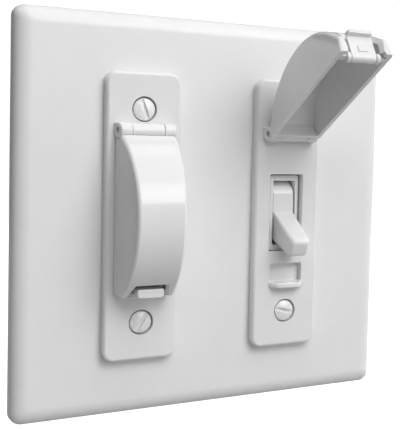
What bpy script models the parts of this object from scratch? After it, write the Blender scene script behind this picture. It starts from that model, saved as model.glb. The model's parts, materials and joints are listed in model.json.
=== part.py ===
"""Two-gang toggle wall switch with a hinged flip guard over each toggle.

Frame: the origin is the centre of the wall plate's back plane, on the wall. +X runs to the right
as one faces the plate, -Y points out of the wall towards the user, and +Z is up. Dimensions are in
millimetres and are multiplied by MM when a mesh is made, so the model itself is in metres.

Each gang's pieces are drawn round x = 0 and then moved to the gang, or hung on an empty there.
Names ending in _X, _Z or _HALF next to a piece centred on an axis are half sizes; _R is a radius.
"""

import math

import bmesh
import bpy
from mathutils import Matrix, Vector

MM = 0.001
GAP = 0.3  # clearance between mating pieces
SHARP_DEG = 35  # edges turned more than this are shaded sharp

# ---- wall plate ----
PLATE_WIDTH, PLATE_HEIGHT, PLATE_DEPTH = 115.8, 114.3, 5.6
PLATE_CORNER = 3.2
PLATE_SIDE = 2.2  # nearly straight part of the edge, next to the wall
PLATE_SIDE_DRAFT = 0.1
PLATE_SHOULDER = 4.2  # width of the rounded shoulder round the flat front
PLATE_SKIN = 2.3  # thickness of the front skin
PLATE_WALL = 2.2  # width of the rim round the hollow back
RIB_X = 1.0
RIB_END = 1.5  # distance from the rib's ends to the plate's edges
GANG_PITCH = 46.04  # centre to centre of the two switches
OPEN_WIDTH, OPEN_HEIGHT = 10.3, 23.8  # toggle opening in the plate
SCREW_Z = 30.1625  # plate screws, above and below each toggle
SCREW_HOLE_R = 2.1

# ---- guard base, a strip screwed on top of the plate ----
BASE_WIDTH, BASE_HEIGHT, BASE_MID_Z = 21.65, 81.5, -0.15
BASE_BACK, FRONT = 5.8, 8.6  # distances in front of the wall of the strip's back and front
BASE_CORNER, BASE_EDGE = 3.0, 0.9
BASE_OPEN_X, BASE_OPEN_TOP, BASE_OPEN_BOTTOM = 5.6, 11.95, -11.65
POCKET_X, POCKET_TOP, POCKET_DEPTH = 5.75, -15.5, 2.0
LEDGE_TOP, LEDGE_THICK, LEDGE_OUT = -21.1, 1.65, 2.8
LEDGE_EASE_V, LEDGE_EASE_Z = 0.25, 0.3  # chamfer of the ledge's front edges
RECESS_R, RECESS_DEPTH = 3.68, 0.75
SCREW_HEAD_R, SCREW_R = 3.3, 1.7

# ---- guard hinge and cover; u runs down from the hinge line, v out from the strip's front ----
HINGE_Z, HINGE_V = 24.15, 2.1
KNUCKLE_R, KNUCKLE_IN, KNUCKLE_OUT, KNUCKLE_DRAFT = 2.2, 4.65, 8.85, 0.2
BARREL_R, BARREL_X = 2.1, 4.35
PIN_R, PIN_BORE_R, PIN_X = 0.7, 0.95, 7.9
COVER_HALF, COVER_DRAFT, COVER_WALL = 8.4, 0.091, 1.3
ARC_U, ARC_V, ARC_R = 23.7, -9.81, 26.42  # centre and radius of the cover's outer arc
ARC_END_U, COVER_END_U, RIM_V = 42.5, 46.3, 0.25
COVER_OPEN_DEG = 121.0  # the right-hand guard stands open at this angle

# ---- latch at the free end of the cover ----
LATCH_U, LATCH_V, LATCH_R, LATCH_X = 43.3, 0.6, 1.35, 3.85
LATCH_THICK, LATCH_TIP_V, LIP_U = 1.3, 7.9, 46.1
SLOT_TOP_U, SLOT_TOP_X, SLOT_END_X = 42.3, 4.7, 5.2
LUG_IN = LATCH_X + 0.35  # inner faces of the lugs beside the latch
LATCH_PIN_R, LATCH_BORE_R, LATCH_PIN_X = 0.6, 0.85, 5.9

# ---- toggle and switch body ----
PIVOT_Y = 3.0  # toggle axis, behind the wall plane
TOGGLE_TILT = 26.3  # degrees either side of level
DRUM_R, DRUM_FLAT, DRUM_X = 11.0, 8.9, 3.45
LEVER_ROOT, LEVER_TIP = -8.0, -22.8  # y, measured from the toggle axis
LEVER_ROOT_Z, LEVER_TIP_Z, LEVER_TIP_X = 4.2, 2.9, 3.1
TRUNNION_R, TRUNNION_X = 2.0, 6.1
COLLAR_X, COLLAR_Z, COLLAR_FRONT = 4.85, 11.6, -6.5
MOUTH_X, MOUTH_Z = 4.35, 10.95
THROAT_X, THROAT_Z, THROAT_Y = 3.8, 9.6, -2.9
BODY_X, BODY_Z, BODY_CORNER = 16.5, 33.0, 2.0
ARM_RATIO = 0.3  # contact arm degrees per toggle degree
ARM_Y = 16.0  # fulcrum of the contact arm
STRAP_X, STRAP_Z, STRAP_THICK = 9.5, 53.0, 1.2
# The strap's middle stands STRAP_STEP off the wall plane, between heights -STRAP_STEP_Z and +.
STRAP_STEP, STRAP_STEP_Z = 0.2, 34.0
EAR_X, EAR_Z = 15.5, 4.2
DEVICE_SCREW_Z = 41.67
TERMINAL_IN, TERMINAL_OUT = 15.0, 15.8  # faces of the terminals' side plates
TERMINAL_SCREW_Y, TERMINAL_SCREW_Z = 12.5, 20.0
SIDE_HOLE_R = 2.1  # clearance holes of the terminal and ground screws
GROUND_OUT, GROUND_IN = -17.6, -16.4  # x of the grounding tab's two faces
GROUND_BOTTOM, GROUND_TOP = -41.0, -34.6
GROUND_SCREW_Y, GROUND_SCREW_Z = 4.0, (GROUND_BOTTOM + GROUND_TOP) / 2

# name: (base colour, roughness, metallic)
MATERIALS = {
    "plate_plastic": ((0.86, 0.86, 0.86), 0.35, 0.0),
    "guard_plastic": ((0.84, 0.84, 0.84), 0.30, 0.0),
    "toggle_plastic": ((0.86, 0.86, 0.86), 0.25, 0.0),
    "housing_plastic": ((0.16, 0.16, 0.17), 0.55, 0.0),
    "white_screw": ((0.85, 0.85, 0.85), 0.35, 0.2),
    "pin_steel": ((0.62, 0.63, 0.64), 0.30, 1.0),
    "strap_steel": ((0.58, 0.59, 0.60), 0.38, 1.0),
    "contact_brass": ((0.75, 0.57, 0.28), 0.32, 1.0),
    "screw_brass": ((0.72, 0.55, 0.27), 0.35, 1.0),
    "ground_green": ((0.10, 0.36, 0.16), 0.40, 0.6),
    "screw_zinc": ((0.60, 0.61, 0.62), 0.35, 1.0),
}

for old_object in list(bpy.data.objects):
    bpy.data.objects.remove(old_object, do_unlink=True)
for old_mesh in list(bpy.data.meshes):
    bpy.data.meshes.remove(old_mesh)


# ---- solids ----
def loft(rings):
    """A closed body through rings of equally many points in mm, capped at both ends."""
    bm = bmesh.new()
    loops = [[bm.verts.new(Vector(point) * MM) for point in ring] for ring in rings]
    count = len(rings[0])
    for near, far in zip(loops, loops[1:]):
        for i in range(count):
            j = (i + 1) % count
            bm.faces.new((near[i], near[j], far[j], far[i]))
    bm.faces.new(loops[0])
    bm.faces.new(loops[-1])
    bmesh.ops.recalc_face_normals(bm, faces=bm.faces)
    mesh = bpy.data.meshes.new("body")
    bm.to_mesh(mesh)
    bm.free()
    body = bpy.data.objects.new("body", mesh)
    bpy.context.scene.collection.objects.link(body)
    return body


def rounded_rect(half_x, half_z, radius, steps):
    """Points (x, z) of a rounded rectangle, from +X through +Z."""
    points = []
    dx, dz = half_x - radius, half_z - radius
    for cx, cz, start in ((dx, dz, 0), (-dx, dz, 90), (-dx, -dz, 180), (dx, -dz, 270)):
        for i in range(steps + 1):
            angle = math.radians(start + 90 * i / steps)
            points.append((cx + radius * math.cos(angle), cz + radius * math.sin(angle)))
    return points


def rect_loft(stations, steps, cx=0.0, cz=0.0):
    """Rounded rectangles lofted along Y; stations hold (y, half x, half z, corner radius)."""
    return loft(
        [
            [(cx + x, y, cz + z) for x, z in rounded_rect(half_x, half_z, radius, steps)]
            for y, half_x, half_z, radius in stations
        ]
    )


def slab(half_x, half_z, corner, levels, steps, cx=0.0, cz=0.0):
    """One rounded rectangle lofted along Y; levels hold (inset, y) or (inset, y, corner radius).

    Where a level gives no radius, the slab's corner is reduced by the inset.
    """
    stations = []
    for inset, y, *given in levels:
        radius = max(0.15, given[0] if given else corner - inset)
        stations.append((y, half_x - inset, half_z - inset, radius))
    return rect_loft(stations, steps, cx, cz)


def quarter_round(inset, y, width, depth, steps):
    """Levels (inset, y) of a rounded edge that starts at (inset, y), without that first level."""
    angles = [math.radians(90 * i / steps) for i in range(1, steps + 1)]
    return [(inset + width * (1 - math.cos(a)), y - depth * math.sin(a)) for a in angles]


def box(x0, x1, y0, y1, z0, z1):
    return loft([[(x0, y0, z), (x1, y0, z), (x1, y1, z), (x0, y1, z)] for z in (z0, z1)])


def turned(centre, axis, profile, segments):
    """A body turned about world axis 'X' or 'Y' through centre.

    The profile holds (position along the axis, radius), the position measured from the origin.
    """
    rings = []
    for along, radius in profile:
        ring = []
        for i in range(segments):
            angle = 2 * math.pi * (i + 0.5) / segments
            across, up = radius * math.cos(angle), radius * math.sin(angle)
            if axis == "X":
                ring.append((along, centre[1] + across, centre[2] + up))
            else:
                ring.append((centre[0] + across, along, centre[2] + up))
        rings.append(ring)
    return loft(rings)


def cylinder(centre, axis, radius, low, high, segments):
    return turned(centre, axis, [(low, radius), (high, radius)], segments)


def prism(points, x0, x1):
    """A polygon of (y, z) points pushed along X; x0 and x1 are numbers or functions of y."""
    ends = [x if callable(x) else (lambda y, x=x: x) for x in (x0, x1)]
    return loft([[(end(y), y, z) for y, z in points] for end in ends])


def on_side(sign, near, far):
    """The range from near to far on the +X or -X side, lower end first."""
    return sorted((sign * near, sign * far))


# ---- operations ----
def combine(target, other, operation):
    """Applies a Boolean with the exact solver and removes the other body."""
    modifier = target.modifiers.new("bool", "BOOLEAN")
    modifier.operation = operation
    modifier.object = other
    modifier.solver = "EXACT"
    depsgraph = bpy.context.evaluated_depsgraph_get()
    mesh = bpy.data.meshes.new_from_object(target.evaluated_get(depsgraph))
    target.modifiers.clear()
    old = target.data
    target.data = mesh
    bpy.data.meshes.remove(old)
    other_mesh = other.data
    bpy.data.objects.remove(other, do_unlink=True)
    bpy.data.meshes.remove(other_mesh)


def cut(target, other):
    combine(target, other, "DIFFERENCE")


def join(target, other):
    combine(target, other, "UNION")


def soften(body, width, segments, pick):
    """Rounds the edges for which pick(a, b) is true; a and b are the edge's ends in mm."""
    bm = bmesh.new()
    bm.from_mesh(body.data)
    edges = [e for e in bm.edges if pick(e.verts[0].co / MM, e.verts[1].co / MM)]
    bmesh.ops.bevel(
        bm,
        geom=edges,
        offset=width * MM,
        segments=segments,
        profile=0.5,
        affect="EDGES",
        clamp_overlap=True,
    )
    bmesh.ops.recalc_face_normals(bm, faces=bm.faces)
    bm.to_mesh(body.data)
    bm.free()


def move(body, x=0.0, y=0.0, z=0.0):
    """Moves the mesh, leaving the object's own origin where it is."""
    body.data.transform(Matrix.Translation(Vector((x * MM, y * MM, z * MM))))
    return body


def material(name):
    found = bpy.data.materials.get(name)
    if found is not None:
        return found
    colour, roughness, metallic = MATERIALS[name]
    made = bpy.data.materials.new(name)
    made.use_nodes = True
    shader = made.node_tree.nodes["Principled BSDF"]
    shader.inputs["Base Color"].default_value = (*colour, 1.0)
    shader.inputs["Roughness"].default_value = roughness
    shader.inputs["Metallic"].default_value = metallic
    return made


def finish(body, name, material_name, parent=None):
    body.name = name
    body.data.name = name
    body.data.materials.clear()
    body.data.materials.append(material(material_name))
    body.data.shade_smooth()
    body.data.set_sharp_from_angle(angle=math.radians(SHARP_DEG))
    body.parent = parent


def pivot(name, x, y, z, degrees=0.0, parent=None):
    """An empty on a joint's axis, which turns the pieces under it by degrees about -X."""
    empty = bpy.data.objects.new(name, None)
    bpy.context.scene.collection.objects.link(empty)
    empty.parent = parent
    empty.location = Vector((x, y, z)) * MM
    empty.rotation_euler = (-math.radians(degrees), 0.0, 0.0)
    return empty


# ---- wall plate ----
def wall_plate():
    levels = [(0.0, 0.0), (PLATE_SIDE_DRAFT, -PLATE_SIDE)]
    shoulder_depth = PLATE_DEPTH - PLATE_SIDE
    for inset, y in quarter_round(
        PLATE_SIDE_DRAFT, -PLATE_SIDE, PLATE_SHOULDER, shoulder_depth, steps=5
    ):
        levels.append((inset, y, max(0.6, PLATE_CORNER - 0.55 * inset)))
    half_x, half_z = PLATE_WIDTH / 2, PLATE_HEIGHT / 2
    plate = slab(half_x, half_z, PLATE_CORNER, levels, steps=3)
    # hollow back
    ceiling = -(PLATE_DEPTH - PLATE_SKIN)
    hollow = [(0, 1.0), (0.2, ceiling)]
    cut(plate, slab(half_x - PLATE_WALL, half_z - PLATE_WALL, 2.4, hollow, steps=2))
    # stiffening rib down the back, between the two switches
    rib_z = half_z - RIB_END
    join(plate, box(-RIB_X, RIB_X, ceiling - 0.5, 0.0, -rib_z, rib_z))
    # countersunk screw holes: (y, radius)
    screw_hole = [(1.0, SCREW_HOLE_R), (-4.2, SCREW_HOLE_R), (-5.62, 3.6), (-7.0, 3.6)]
    for x in (-GANG_PITCH / 2, GANG_PITCH / 2):
        cut(plate, slab(OPEN_WIDTH / 2, OPEN_HEIGHT / 2, 0.6, [(0, 1), (0, -7)], steps=1, cx=x))
        for z in (-SCREW_Z, SCREW_Z):
            cut(plate, turned((x, 0, z), "Y", screw_hole, 12))
    finish(plate, "wall_plate", "plate_plastic")


# ---- guard ----
def y_at(v):
    return -(FRONT + v)


def z_at(u):
    return HINGE_Z - u


def side_view(points):
    """Turns (v, u) points into (y, z)."""
    return [(y_at(v), z_at(u)) for v, u in points]


HINGE_AXIS = (0, y_at(HINGE_V), HINGE_Z)
LATCH_AXIS = (0, y_at(LATCH_V), z_at(LATCH_U))


def add_knuckles(base):
    """The base's two D-shaped hinge knuckles."""
    outline = [(-0.6, 0.0), (-0.6, -KNUCKLE_R)]
    for i in range(12):
        angle = math.radians(-90 + 262 * i / 11)
        v = HINGE_V + KNUCKLE_R * math.cos(angle)
        outline.append((v, KNUCKLE_R * math.sin(angle)))
    points = side_view(outline)

    def outer(y):
        return KNUCKLE_OUT - KNUCKLE_DRAFT * (-y - FRONT)

    join(base, prism(points, KNUCKLE_IN, outer))
    join(base, prism(points, lambda y: -outer(y), -KNUCKLE_IN))


def latch_ledge():
    """The ledge that the latch snaps over, rounded in plan."""
    # (x, v) of the right half, from the root to the front
    half = [(6.0, -0.6), (6.0, 0.9), (4.85, 1.7), (4.45, 2.3), (3.9, 2.65), (3.2, LEDGE_OUT)]
    plan = half + [(-x, v) for x, v in reversed(half)]

    def ring(z, ease):
        return [(x, y_at(v - (ease if v > 2 else 0)), z) for x, v in plan]

    bottom = LEDGE_TOP - LEDGE_THICK
    return loft(
        [
            ring(bottom, LEDGE_EASE_V),
            ring(bottom + LEDGE_EASE_Z, 0),
            ring(LEDGE_TOP - LEDGE_EASE_Z, 0),
            ring(LEDGE_TOP, LEDGE_EASE_V),
        ]
    )


def window(half_x, top, bottom, y_back):
    """A cutter through the base's front, back to y_back."""
    levels = [(0, y_back), (0, -12)]
    return slab(half_x, (top - bottom) / 2, 0.5, levels, steps=1, cz=(top + bottom) / 2)


def guard_base(side, gang_x):
    edge_y = -FRONT + BASE_EDGE
    levels = [(0.0, -BASE_BACK), (0.0, edge_y)]
    levels += quarter_round(0.0, edge_y, BASE_EDGE, BASE_EDGE, steps=3)
    base = slab(BASE_WIDTH / 2, BASE_HEIGHT / 2, BASE_CORNER, levels, steps=3, cz=BASE_MID_Z)
    add_knuckles(base)
    join(base, latch_ledge())
    # toggle opening, and the pocket above the ledge
    cut(base, window(BASE_OPEN_X, BASE_OPEN_TOP, BASE_OPEN_BOTTOM, -4))
    cut(base, window(POCKET_X, POCKET_TOP, LEDGE_TOP, -FRONT + POCKET_DEPTH))
    # low ramp on the ledge that the latch rides over: (v, height above the ledge)
    ramp = [(1.85, -0.3), (1.95, 0.12), (2.1, 0.2), (2.35, 0.22), (2.55, 0.18), (2.7, -0.3)]
    join(base, prism([(y_at(v), LEDGE_TOP + rise) for v, rise in ramp], -1.0, 1.0))
    # room for the cover's barrel, and the pin bore
    cut(base, cylinder(HINGE_AXIS, "X", BARREL_R + 0.35, -KNUCKLE_IN, KNUCKLE_IN, 18))
    cut(base, cylinder(HINGE_AXIS, "X", PIN_BORE_R, -11, 11, 12))
    # recessed screw holes: (y, radius)
    screw_hole = [
        (-10.0, RECESS_R),
        (-FRONT + RECESS_DEPTH, RECESS_R),
        (-6.35, SCREW_HOLE_R),
        (-5.0, SCREW_HOLE_R),
    ]
    for z in (-SCREW_Z, SCREW_Z):
        cut(base, turned((0, 0, z), "Y", screw_hole, 18))
    finish(move(base, gang_x), side + "_guard_base", "guard_plastic")


def hinge_pin(side, gang_x):
    pin = cylinder(HINGE_AXIS, "X", PIN_R, -PIN_X, PIN_X, 12)
    finish(move(pin, gang_x), side + "_hinge_pin", "pin_steel")


def shell_profile(offset, start_u, end_u, rim_v, steps):
    """Side outline of the cover in (y, z): the arc, the straight run tangent to it, the flat end.

    offset is the distance inside the outer surface.
    """
    radius = ARC_R - offset
    end_angle = math.asin((ARC_END_U - ARC_U) / ARC_R)
    arc_end_u = ARC_U + radius * math.sin(end_angle)

    def arc_v(u):
        return ARC_V + math.sqrt(radius * radius - (u - ARC_U) ** 2)

    points = [(rim_v, start_u), (arc_v(start_u), start_u)]
    for i in range(1, steps + 1):
        # cosine spacing, closer together towards the arc's end
        share = 0.5 - 0.5 * math.cos(math.pi * (0.12 + 0.88 * i / steps))
        u = start_u + (arc_end_u - start_u) * share
        points.append((arc_v(u), u))
    slope = -math.tan(end_angle)
    corner_v = arc_v(arc_end_u) + slope * (end_u - arc_end_u)
    points += [
        (corner_v - slope * 0.7, end_u - 0.7),
        (corner_v - 0.25, end_u - 0.22),
        (corner_v - 0.8, end_u),
        (rim_v, end_u),
    ]
    return side_view(points)


def cover_half(y):
    """Half width of the cover, which narrows towards the front."""
    return COVER_HALF - COVER_DRAFT * (-y - FRONT)


def cover_shell():
    outer = shell_profile(0.0, 0.2, COVER_END_U, RIM_V, steps=16)
    shell = prism(outer, lambda y: -cover_half(y), cover_half)
    rim = y_at(RIM_V) - 0.01

    def is_side_edge(a, b):
        """Edges round both side faces, except those on the rim and at the hinge end."""
        same_side = a.x * b.x > 0
        on_face = all(abs(abs(p.x) - cover_half(p.y)) < 0.02 for p in (a, b))
        on_rim = a.y > rim and b.y > rim
        past_hinge_end = min(a.z, b.z) < z_at(0.3) and max(a.z, b.z) < z_at(0.25)
        return same_side and on_face and not on_rim and past_hinge_end

    soften(shell, 0.8, 2, is_side_edge)

    def inner_half(y):
        return cover_half(y) - COVER_WALL

    inner = shell_profile(COVER_WALL, 1.6, COVER_END_U - 1.4, -2.0, steps=12)
    cut(shell, prism(inner, lambda y: -inner_half(y), inner_half))
    return shell


def latch_slot():
    """Cutter for the slot in the cover's free end, wider towards that end."""
    past_u = COVER_END_U + 2
    slope = (SLOT_END_X - SLOT_TOP_X) / (COVER_END_U - SLOT_TOP_U)
    past_x = SLOT_END_X + slope * 2
    corners = [
        (-past_x, past_u),
        (past_x, past_u),
        (SLOT_TOP_X, SLOT_TOP_U),
        (-SLOT_TOP_X, SLOT_TOP_U),
    ]
    return loft([[(x, y_at(v), z_at(u)) for x, u in corners] for v in (-2, 13)])


def guard_cover(side, parent):
    cover = cover_shell()
    # relief round the base's knuckles, then the cover's own barrel between them
    for sign in (-1, 1):
        cut(cover, cylinder(HINGE_AXIS, "X", KNUCKLE_R + GAP, *on_side(sign, BARREL_X, 12), 20))
    join(cover, cylinder(HINGE_AXIS, "X", BARREL_R, -BARREL_X, BARREL_X, 18))
    cut(cover, cylinder(HINGE_AXIS, "X", PIN_BORE_R, -9, 9, 12))
    # latch slot, and room for the ledge
    cut(cover, latch_slot())
    low, high = z_at(COVER_END_U + 2), z_at(COVER_END_U - 1.45)
    cut(cover, box(-6.35, 6.35, y_at(-2), y_at(1.75), low, high))
    # lugs that carry the latch pin
    for sign in (-1, 1):
        lug_x = on_side(sign, LUG_IN, 7.3)
        join(cover, box(*lug_x, y_at(2.3), y_at(RIM_V), z_at(44.95), z_at(41.8)))
        join(cover, cylinder(LATCH_AXIS, "X", 1.45, *on_side(sign, LUG_IN, 5.45), 14))
    cut(cover, cylinder(LATCH_AXIS, "X", LATCH_BORE_R, -6.2, 6.2, 10))
    move(cover, y=-HINGE_AXIS[1], z=-HINGE_AXIS[2])
    finish(cover, side + "_guard_cover", "guard_plastic", parent)


def latch(side, parent):
    """The spring latch, drawn in place and then centred on its own pin."""
    body = cylinder(LATCH_AXIS, "X", LATCH_R, -LATCH_X, LATCH_X, 16)
    outer_u = LATCH_U + LATCH_R
    inner_u = outer_u - LATCH_THICK
    # (v, u), out along the inner face and back along the outer one
    outline = [
        (LATCH_V, inner_u),
        (LATCH_TIP_V - 0.3, inner_u),
        (LATCH_TIP_V, inner_u + 0.3),
        (LATCH_TIP_V, LIP_U - 0.4),
        (LATCH_TIP_V - 0.4, LIP_U),
        (LATCH_TIP_V - 0.8, LIP_U),
        (LATCH_TIP_V - 1.15, LIP_U - 0.35),
        (LATCH_TIP_V - 1.3, outer_u + 0.4),
        (LATCH_TIP_V - 1.75, outer_u),
        (LATCH_V, outer_u),
    ]
    arm = prism(side_view(outline), -LATCH_X, LATCH_X)

    def is_lip_end(a, b):
        """The lip's two lowest edges, one on each side face."""
        along_y = abs(a.x - b.x) < 0.01 and abs(a.z - b.z) < 0.01
        return along_y and a.z < z_at(LIP_U - 0.01)

    soften(arm, 0.9, 2, is_lip_end)
    join(body, arm)
    # low block under the arm
    join(body, box(-1.45, 1.45, y_at(3.6), y_at(1.7), z_at(outer_u + 0.2), z_at(outer_u - 0.4)))
    cut(body, cylinder(LATCH_AXIS, "X", LATCH_BORE_R, -6, 6, 10))
    move(body, y=-LATCH_AXIS[1], z=-LATCH_AXIS[2])
    finish(body, side + "_latch", "guard_plastic", parent)


def latch_pin(side, parent):
    pin = cylinder((0, 0, 0), "X", LATCH_PIN_R, -LATCH_PIN_X, LATCH_PIN_X, 10)
    finish(pin, side + "_latch_pin", "pin_steel", parent)


# ---- screws ----
def slotted_screw(profile, axis, centre, slot_width, slot_low, slot_high, slot_deg, segments):
    """A turned screw with a straight slot across its head, turned by slot_deg about the axis."""
    screw = turned(centre, axis, profile, segments)
    across = (-slot_width / 2, slot_width / 2)
    deep = (slot_low, slot_high)
    blade = box(*across, *deep, -6, 6) if axis == "Y" else box(*deep, *across, -6, 6)
    turn = Matrix.Rotation(math.radians(slot_deg), 4, axis)
    blade.data.transform(Matrix.Translation(Vector(centre) * MM) @ turn)
    cut(screw, blade)
    return screw


def plate_screw(name, gang_x, z, slot_deg):
    """A round-headed screw that holds the guard base and the plate to the switch."""
    top = -FRONT + 0.15
    shoulder = top + 0.3
    profile = [
        (8.0, 0.9),
        (7.0, SCREW_R),
        (-5.9, SCREW_R),
        (top + 0.55, SCREW_HEAD_R),
        (shoulder, SCREW_HEAD_R),
    ]
    for degrees in (35, 70):
        angle = math.radians(degrees)
        profile.append((shoulder - 0.75 * math.sin(angle), SCREW_HEAD_R * math.cos(angle)))
    centre = (gang_x, 0, z)
    screw = slotted_screw(profile, "Y", centre, 1.15, -12.0, top + 0.75, slot_deg, 18)
    finish(screw, name, "white_screw")


def device_screw(name, gang_x, z, slot_deg):
    """A screw that holds the strap to the wall."""
    profile = [
        (20.0, 0.9), (19.0, SCREW_R), (-1.5, SCREW_R),
        (-1.5, 3.4), (-2.2, 3.3), (-2.8, 2.7), (-3.08, 1.6),
    ]
    screw = slotted_screw(profile, "Y", (gang_x, 0, z), 1.1, -9.0, -2.3, slot_deg, 12)
    finish(screw, name, "screw_zinc")


def side_screw(name, y, z, seat, sign, length, material_name, slot_deg):
    """A screw lying along X, its head facing +X if sign is +1; seat is x of its underside."""
    # (distance outwards from the seat, radius)
    outline = [(-length, 1.0), (0.8 - length, 1.75), (0, 1.75), (0, 3.5), (1.5, 3.5), (2.0, 3.0)]
    profile = [(seat + sign * out, radius) for out, radius in outline]
    low, high = sorted((seat + sign * 1.0, seat + sign * 4.0))
    screw = slotted_screw(profile, "X", (0, y, z), 1.2, low, high, slot_deg, 12)
    finish(screw, name, material_name)


def terminal_and_ground_screws(side, gang_x):
    for role, sign, slot_deg in (("line", -1, 20), ("load", 1, -35)):
        side_screw(
            f"{side}_{role}_screw",
            TERMINAL_SCREW_Y,
            sign * TERMINAL_SCREW_Z,
            seat=gang_x + TERMINAL_OUT + GAP,
            sign=1,
            length=6.6,
            material_name="screw_brass",
            slot_deg=slot_deg,
        )
    side_screw(
        side + "_ground_screw",
        GROUND_SCREW_Y,
        GROUND_SCREW_Z,
        seat=gang_x + GROUND_OUT - GAP,
        sign=-1,
        length=6.0,
        material_name="ground_green",
        slot_deg=50,
    )


# ---- switch body ----
def strap(side, gang_x):
    sheet = [(0, 0.0), (0, -STRAP_THICK)]
    through = [(0, 1), (0, -3)]
    body = slab(STRAP_X, STRAP_Z, 1.5, sheet, steps=2)
    # ears, with their device screw slots and the plate screw holes
    for sign in (-1, 1):
        join(body, slab(EAR_X, EAR_Z, 1.6, sheet, steps=2, cz=sign * (STRAP_Z - EAR_Z)))
        cut(body, slab(3.6, 2.1, 2.05, through, steps=3, cz=sign * DEVICE_SCREW_Z))
        cut(body, cylinder((0, 0, sign * SCREW_Z), "Y", 2.05, -3, 1, 12))
    cut(body, box(-20, 20, -STRAP_STEP, 1.0, -STRAP_STEP_Z, STRAP_STEP_Z))
    # grounding tab, bent back at the lower left
    tab_z = (GROUND_BOTTOM, GROUND_TOP)
    join(body, box(GROUND_OUT, -8.0, -STRAP_THICK, 0.0, *tab_z))
    join(body, box(GROUND_OUT, GROUND_IN, -STRAP_THICK, 8.0, *tab_z))
    cut(body, cylinder((0, GROUND_SCREW_Y, GROUND_SCREW_Z), "X", SIDE_HOLE_R, -20, -15, 12))
    # opening round the collar
    room = GAP + 0.1
    cut(body, slab(COLLAR_X + room, COLLAR_Z + room, 0.5, through, steps=1))
    finish(move(body, gang_x), side + "_strap", "strap_steel")


def cut_body_screw_holes(body, y_front, y_back):
    for z in (-SCREW_Z, SCREW_Z):
        cut(body, cylinder((0, 0, z), "Y", SCREW_HOLE_R, y_front, y_back, 12))


def switch_front(side, gang_x):
    """Front half of the switch body, with the collar that stands in the plate's opening."""
    body = slab(BODY_X, BODY_Z, BODY_CORNER, [(0, 5.3), (0, GAP - STRAP_STEP)], steps=2)
    collar = [(0, 1.5), (0, COLLAR_FRONT + 0.3), (0.3, COLLAR_FRONT)]
    join(body, slab(COLLAR_X, COLLAR_Z, 0.8, collar, steps=2))
    mouth = [
        (COLLAR_FRONT - 0.2, MOUTH_X + 0.06, MOUTH_Z + 0.2, 0.5),
        (COLLAR_FRONT + 0.15, MOUTH_X, MOUTH_Z, 0.5),
        (THROAT_Y, THROAT_X, THROAT_Z, 0.5),
        (0.0, THROAT_X, THROAT_Z, 0.5),
    ]
    cut(body, rect_loft(mouth, steps=2))
    # room for the drum and the trunnions
    room_r = DRUM_R + 0.3
    cut(body, cylinder((0, PIVOT_Y, 0), "X", room_r, -THROAT_X, THROAT_X, 36))
    cut(body, box(-THROAT_X, THROAT_X, PIVOT_Y, 9.0, -room_r, room_r))
    cut(body, box(-6.4, 6.4, PIVOT_Y - 2.3, 9.0, -2.35, 2.35))
    cut_body_screw_holes(body, -1, 7)
    finish(move(body, gang_x), side + "_switch_front", "toggle_plastic")


def switch_base(side, gang_x):
    """Rear half of the switch body: a deep moulding that holds the contacts."""
    body = slab(BODY_X, BODY_Z, BODY_CORNER, [(0, 5.6), (0, 24.4), (1.2, 25.6)], steps=2)
    cut(body, box(-8.0, 8.0, 4.0, 21.0, -14.5, 14.5))
    cut_body_screw_holes(body, 4, 9.5)
    # terminal recesses on the right, and their screw holes
    for sign in (-1, 1):
        cut(body, box(14.6, 18.0, 8.0, 18.4, *on_side(sign, 7.4, 26.6)))
        centre = (0, TERMINAL_SCREW_Y, sign * TERMINAL_SCREW_Z)
        cut(body, cylinder(centre, "X", SIDE_HOLE_R, 8.5, 16, 12))
    # passages for the line and load terminals
    cut(body, box(7.0, 15.0, 16.4, 18.0, -12.4, -7.6))
    cut(body, box(7.0, 15.0, 16.8, 18.4, 7.6, 12.4))
    finish(move(body, gang_x), side + "_switch_base", "housing_plastic")


def finish_terminal(body, name, gang_x, screw_z):
    centre = (0, TERMINAL_SCREW_Y, screw_z)
    cut(body, cylinder(centre, "X", SIDE_HOLE_R, 14, 17, 12))
    finish(move(body, gang_x), name, "contact_brass")


def line_terminal(side, gang_x):
    """The lower terminal, with a round contact on the front of its strip."""
    body = box(-2.4, TERMINAL_OUT, 16.8, 17.6, -12.0, -8.0)
    join(body, box(TERMINAL_IN, TERMINAL_OUT, 8.6, 17.6, -26.0, -8.0))
    join(body, cylinder((0, 0, -9.6), "Y", 1.4, 16.0, 17.0, 12))
    finish_terminal(body, side + "_line_terminal", gang_x, -TERMINAL_SCREW_Z)


def load_terminal(side, gang_x):
    """The upper terminal, with a branch down to the contact arm's fulcrum."""
    body = box(-2.4, TERMINAL_OUT, 17.2, 18.0, 8.0, 12.0)
    join(body, box(TERMINAL_IN, TERMINAL_OUT, 8.6, 18.0, 8.0, 26.0))
    join(body, box(-2.4, 2.4, 17.2, 18.0, -1.6, 9.0))
    join(body, box(-2.4, 2.4, 16.5, 17.6, -0.5, 0.5))
    finish_terminal(body, side + "_load_terminal", gang_x, TERMINAL_SCREW_Z)


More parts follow.
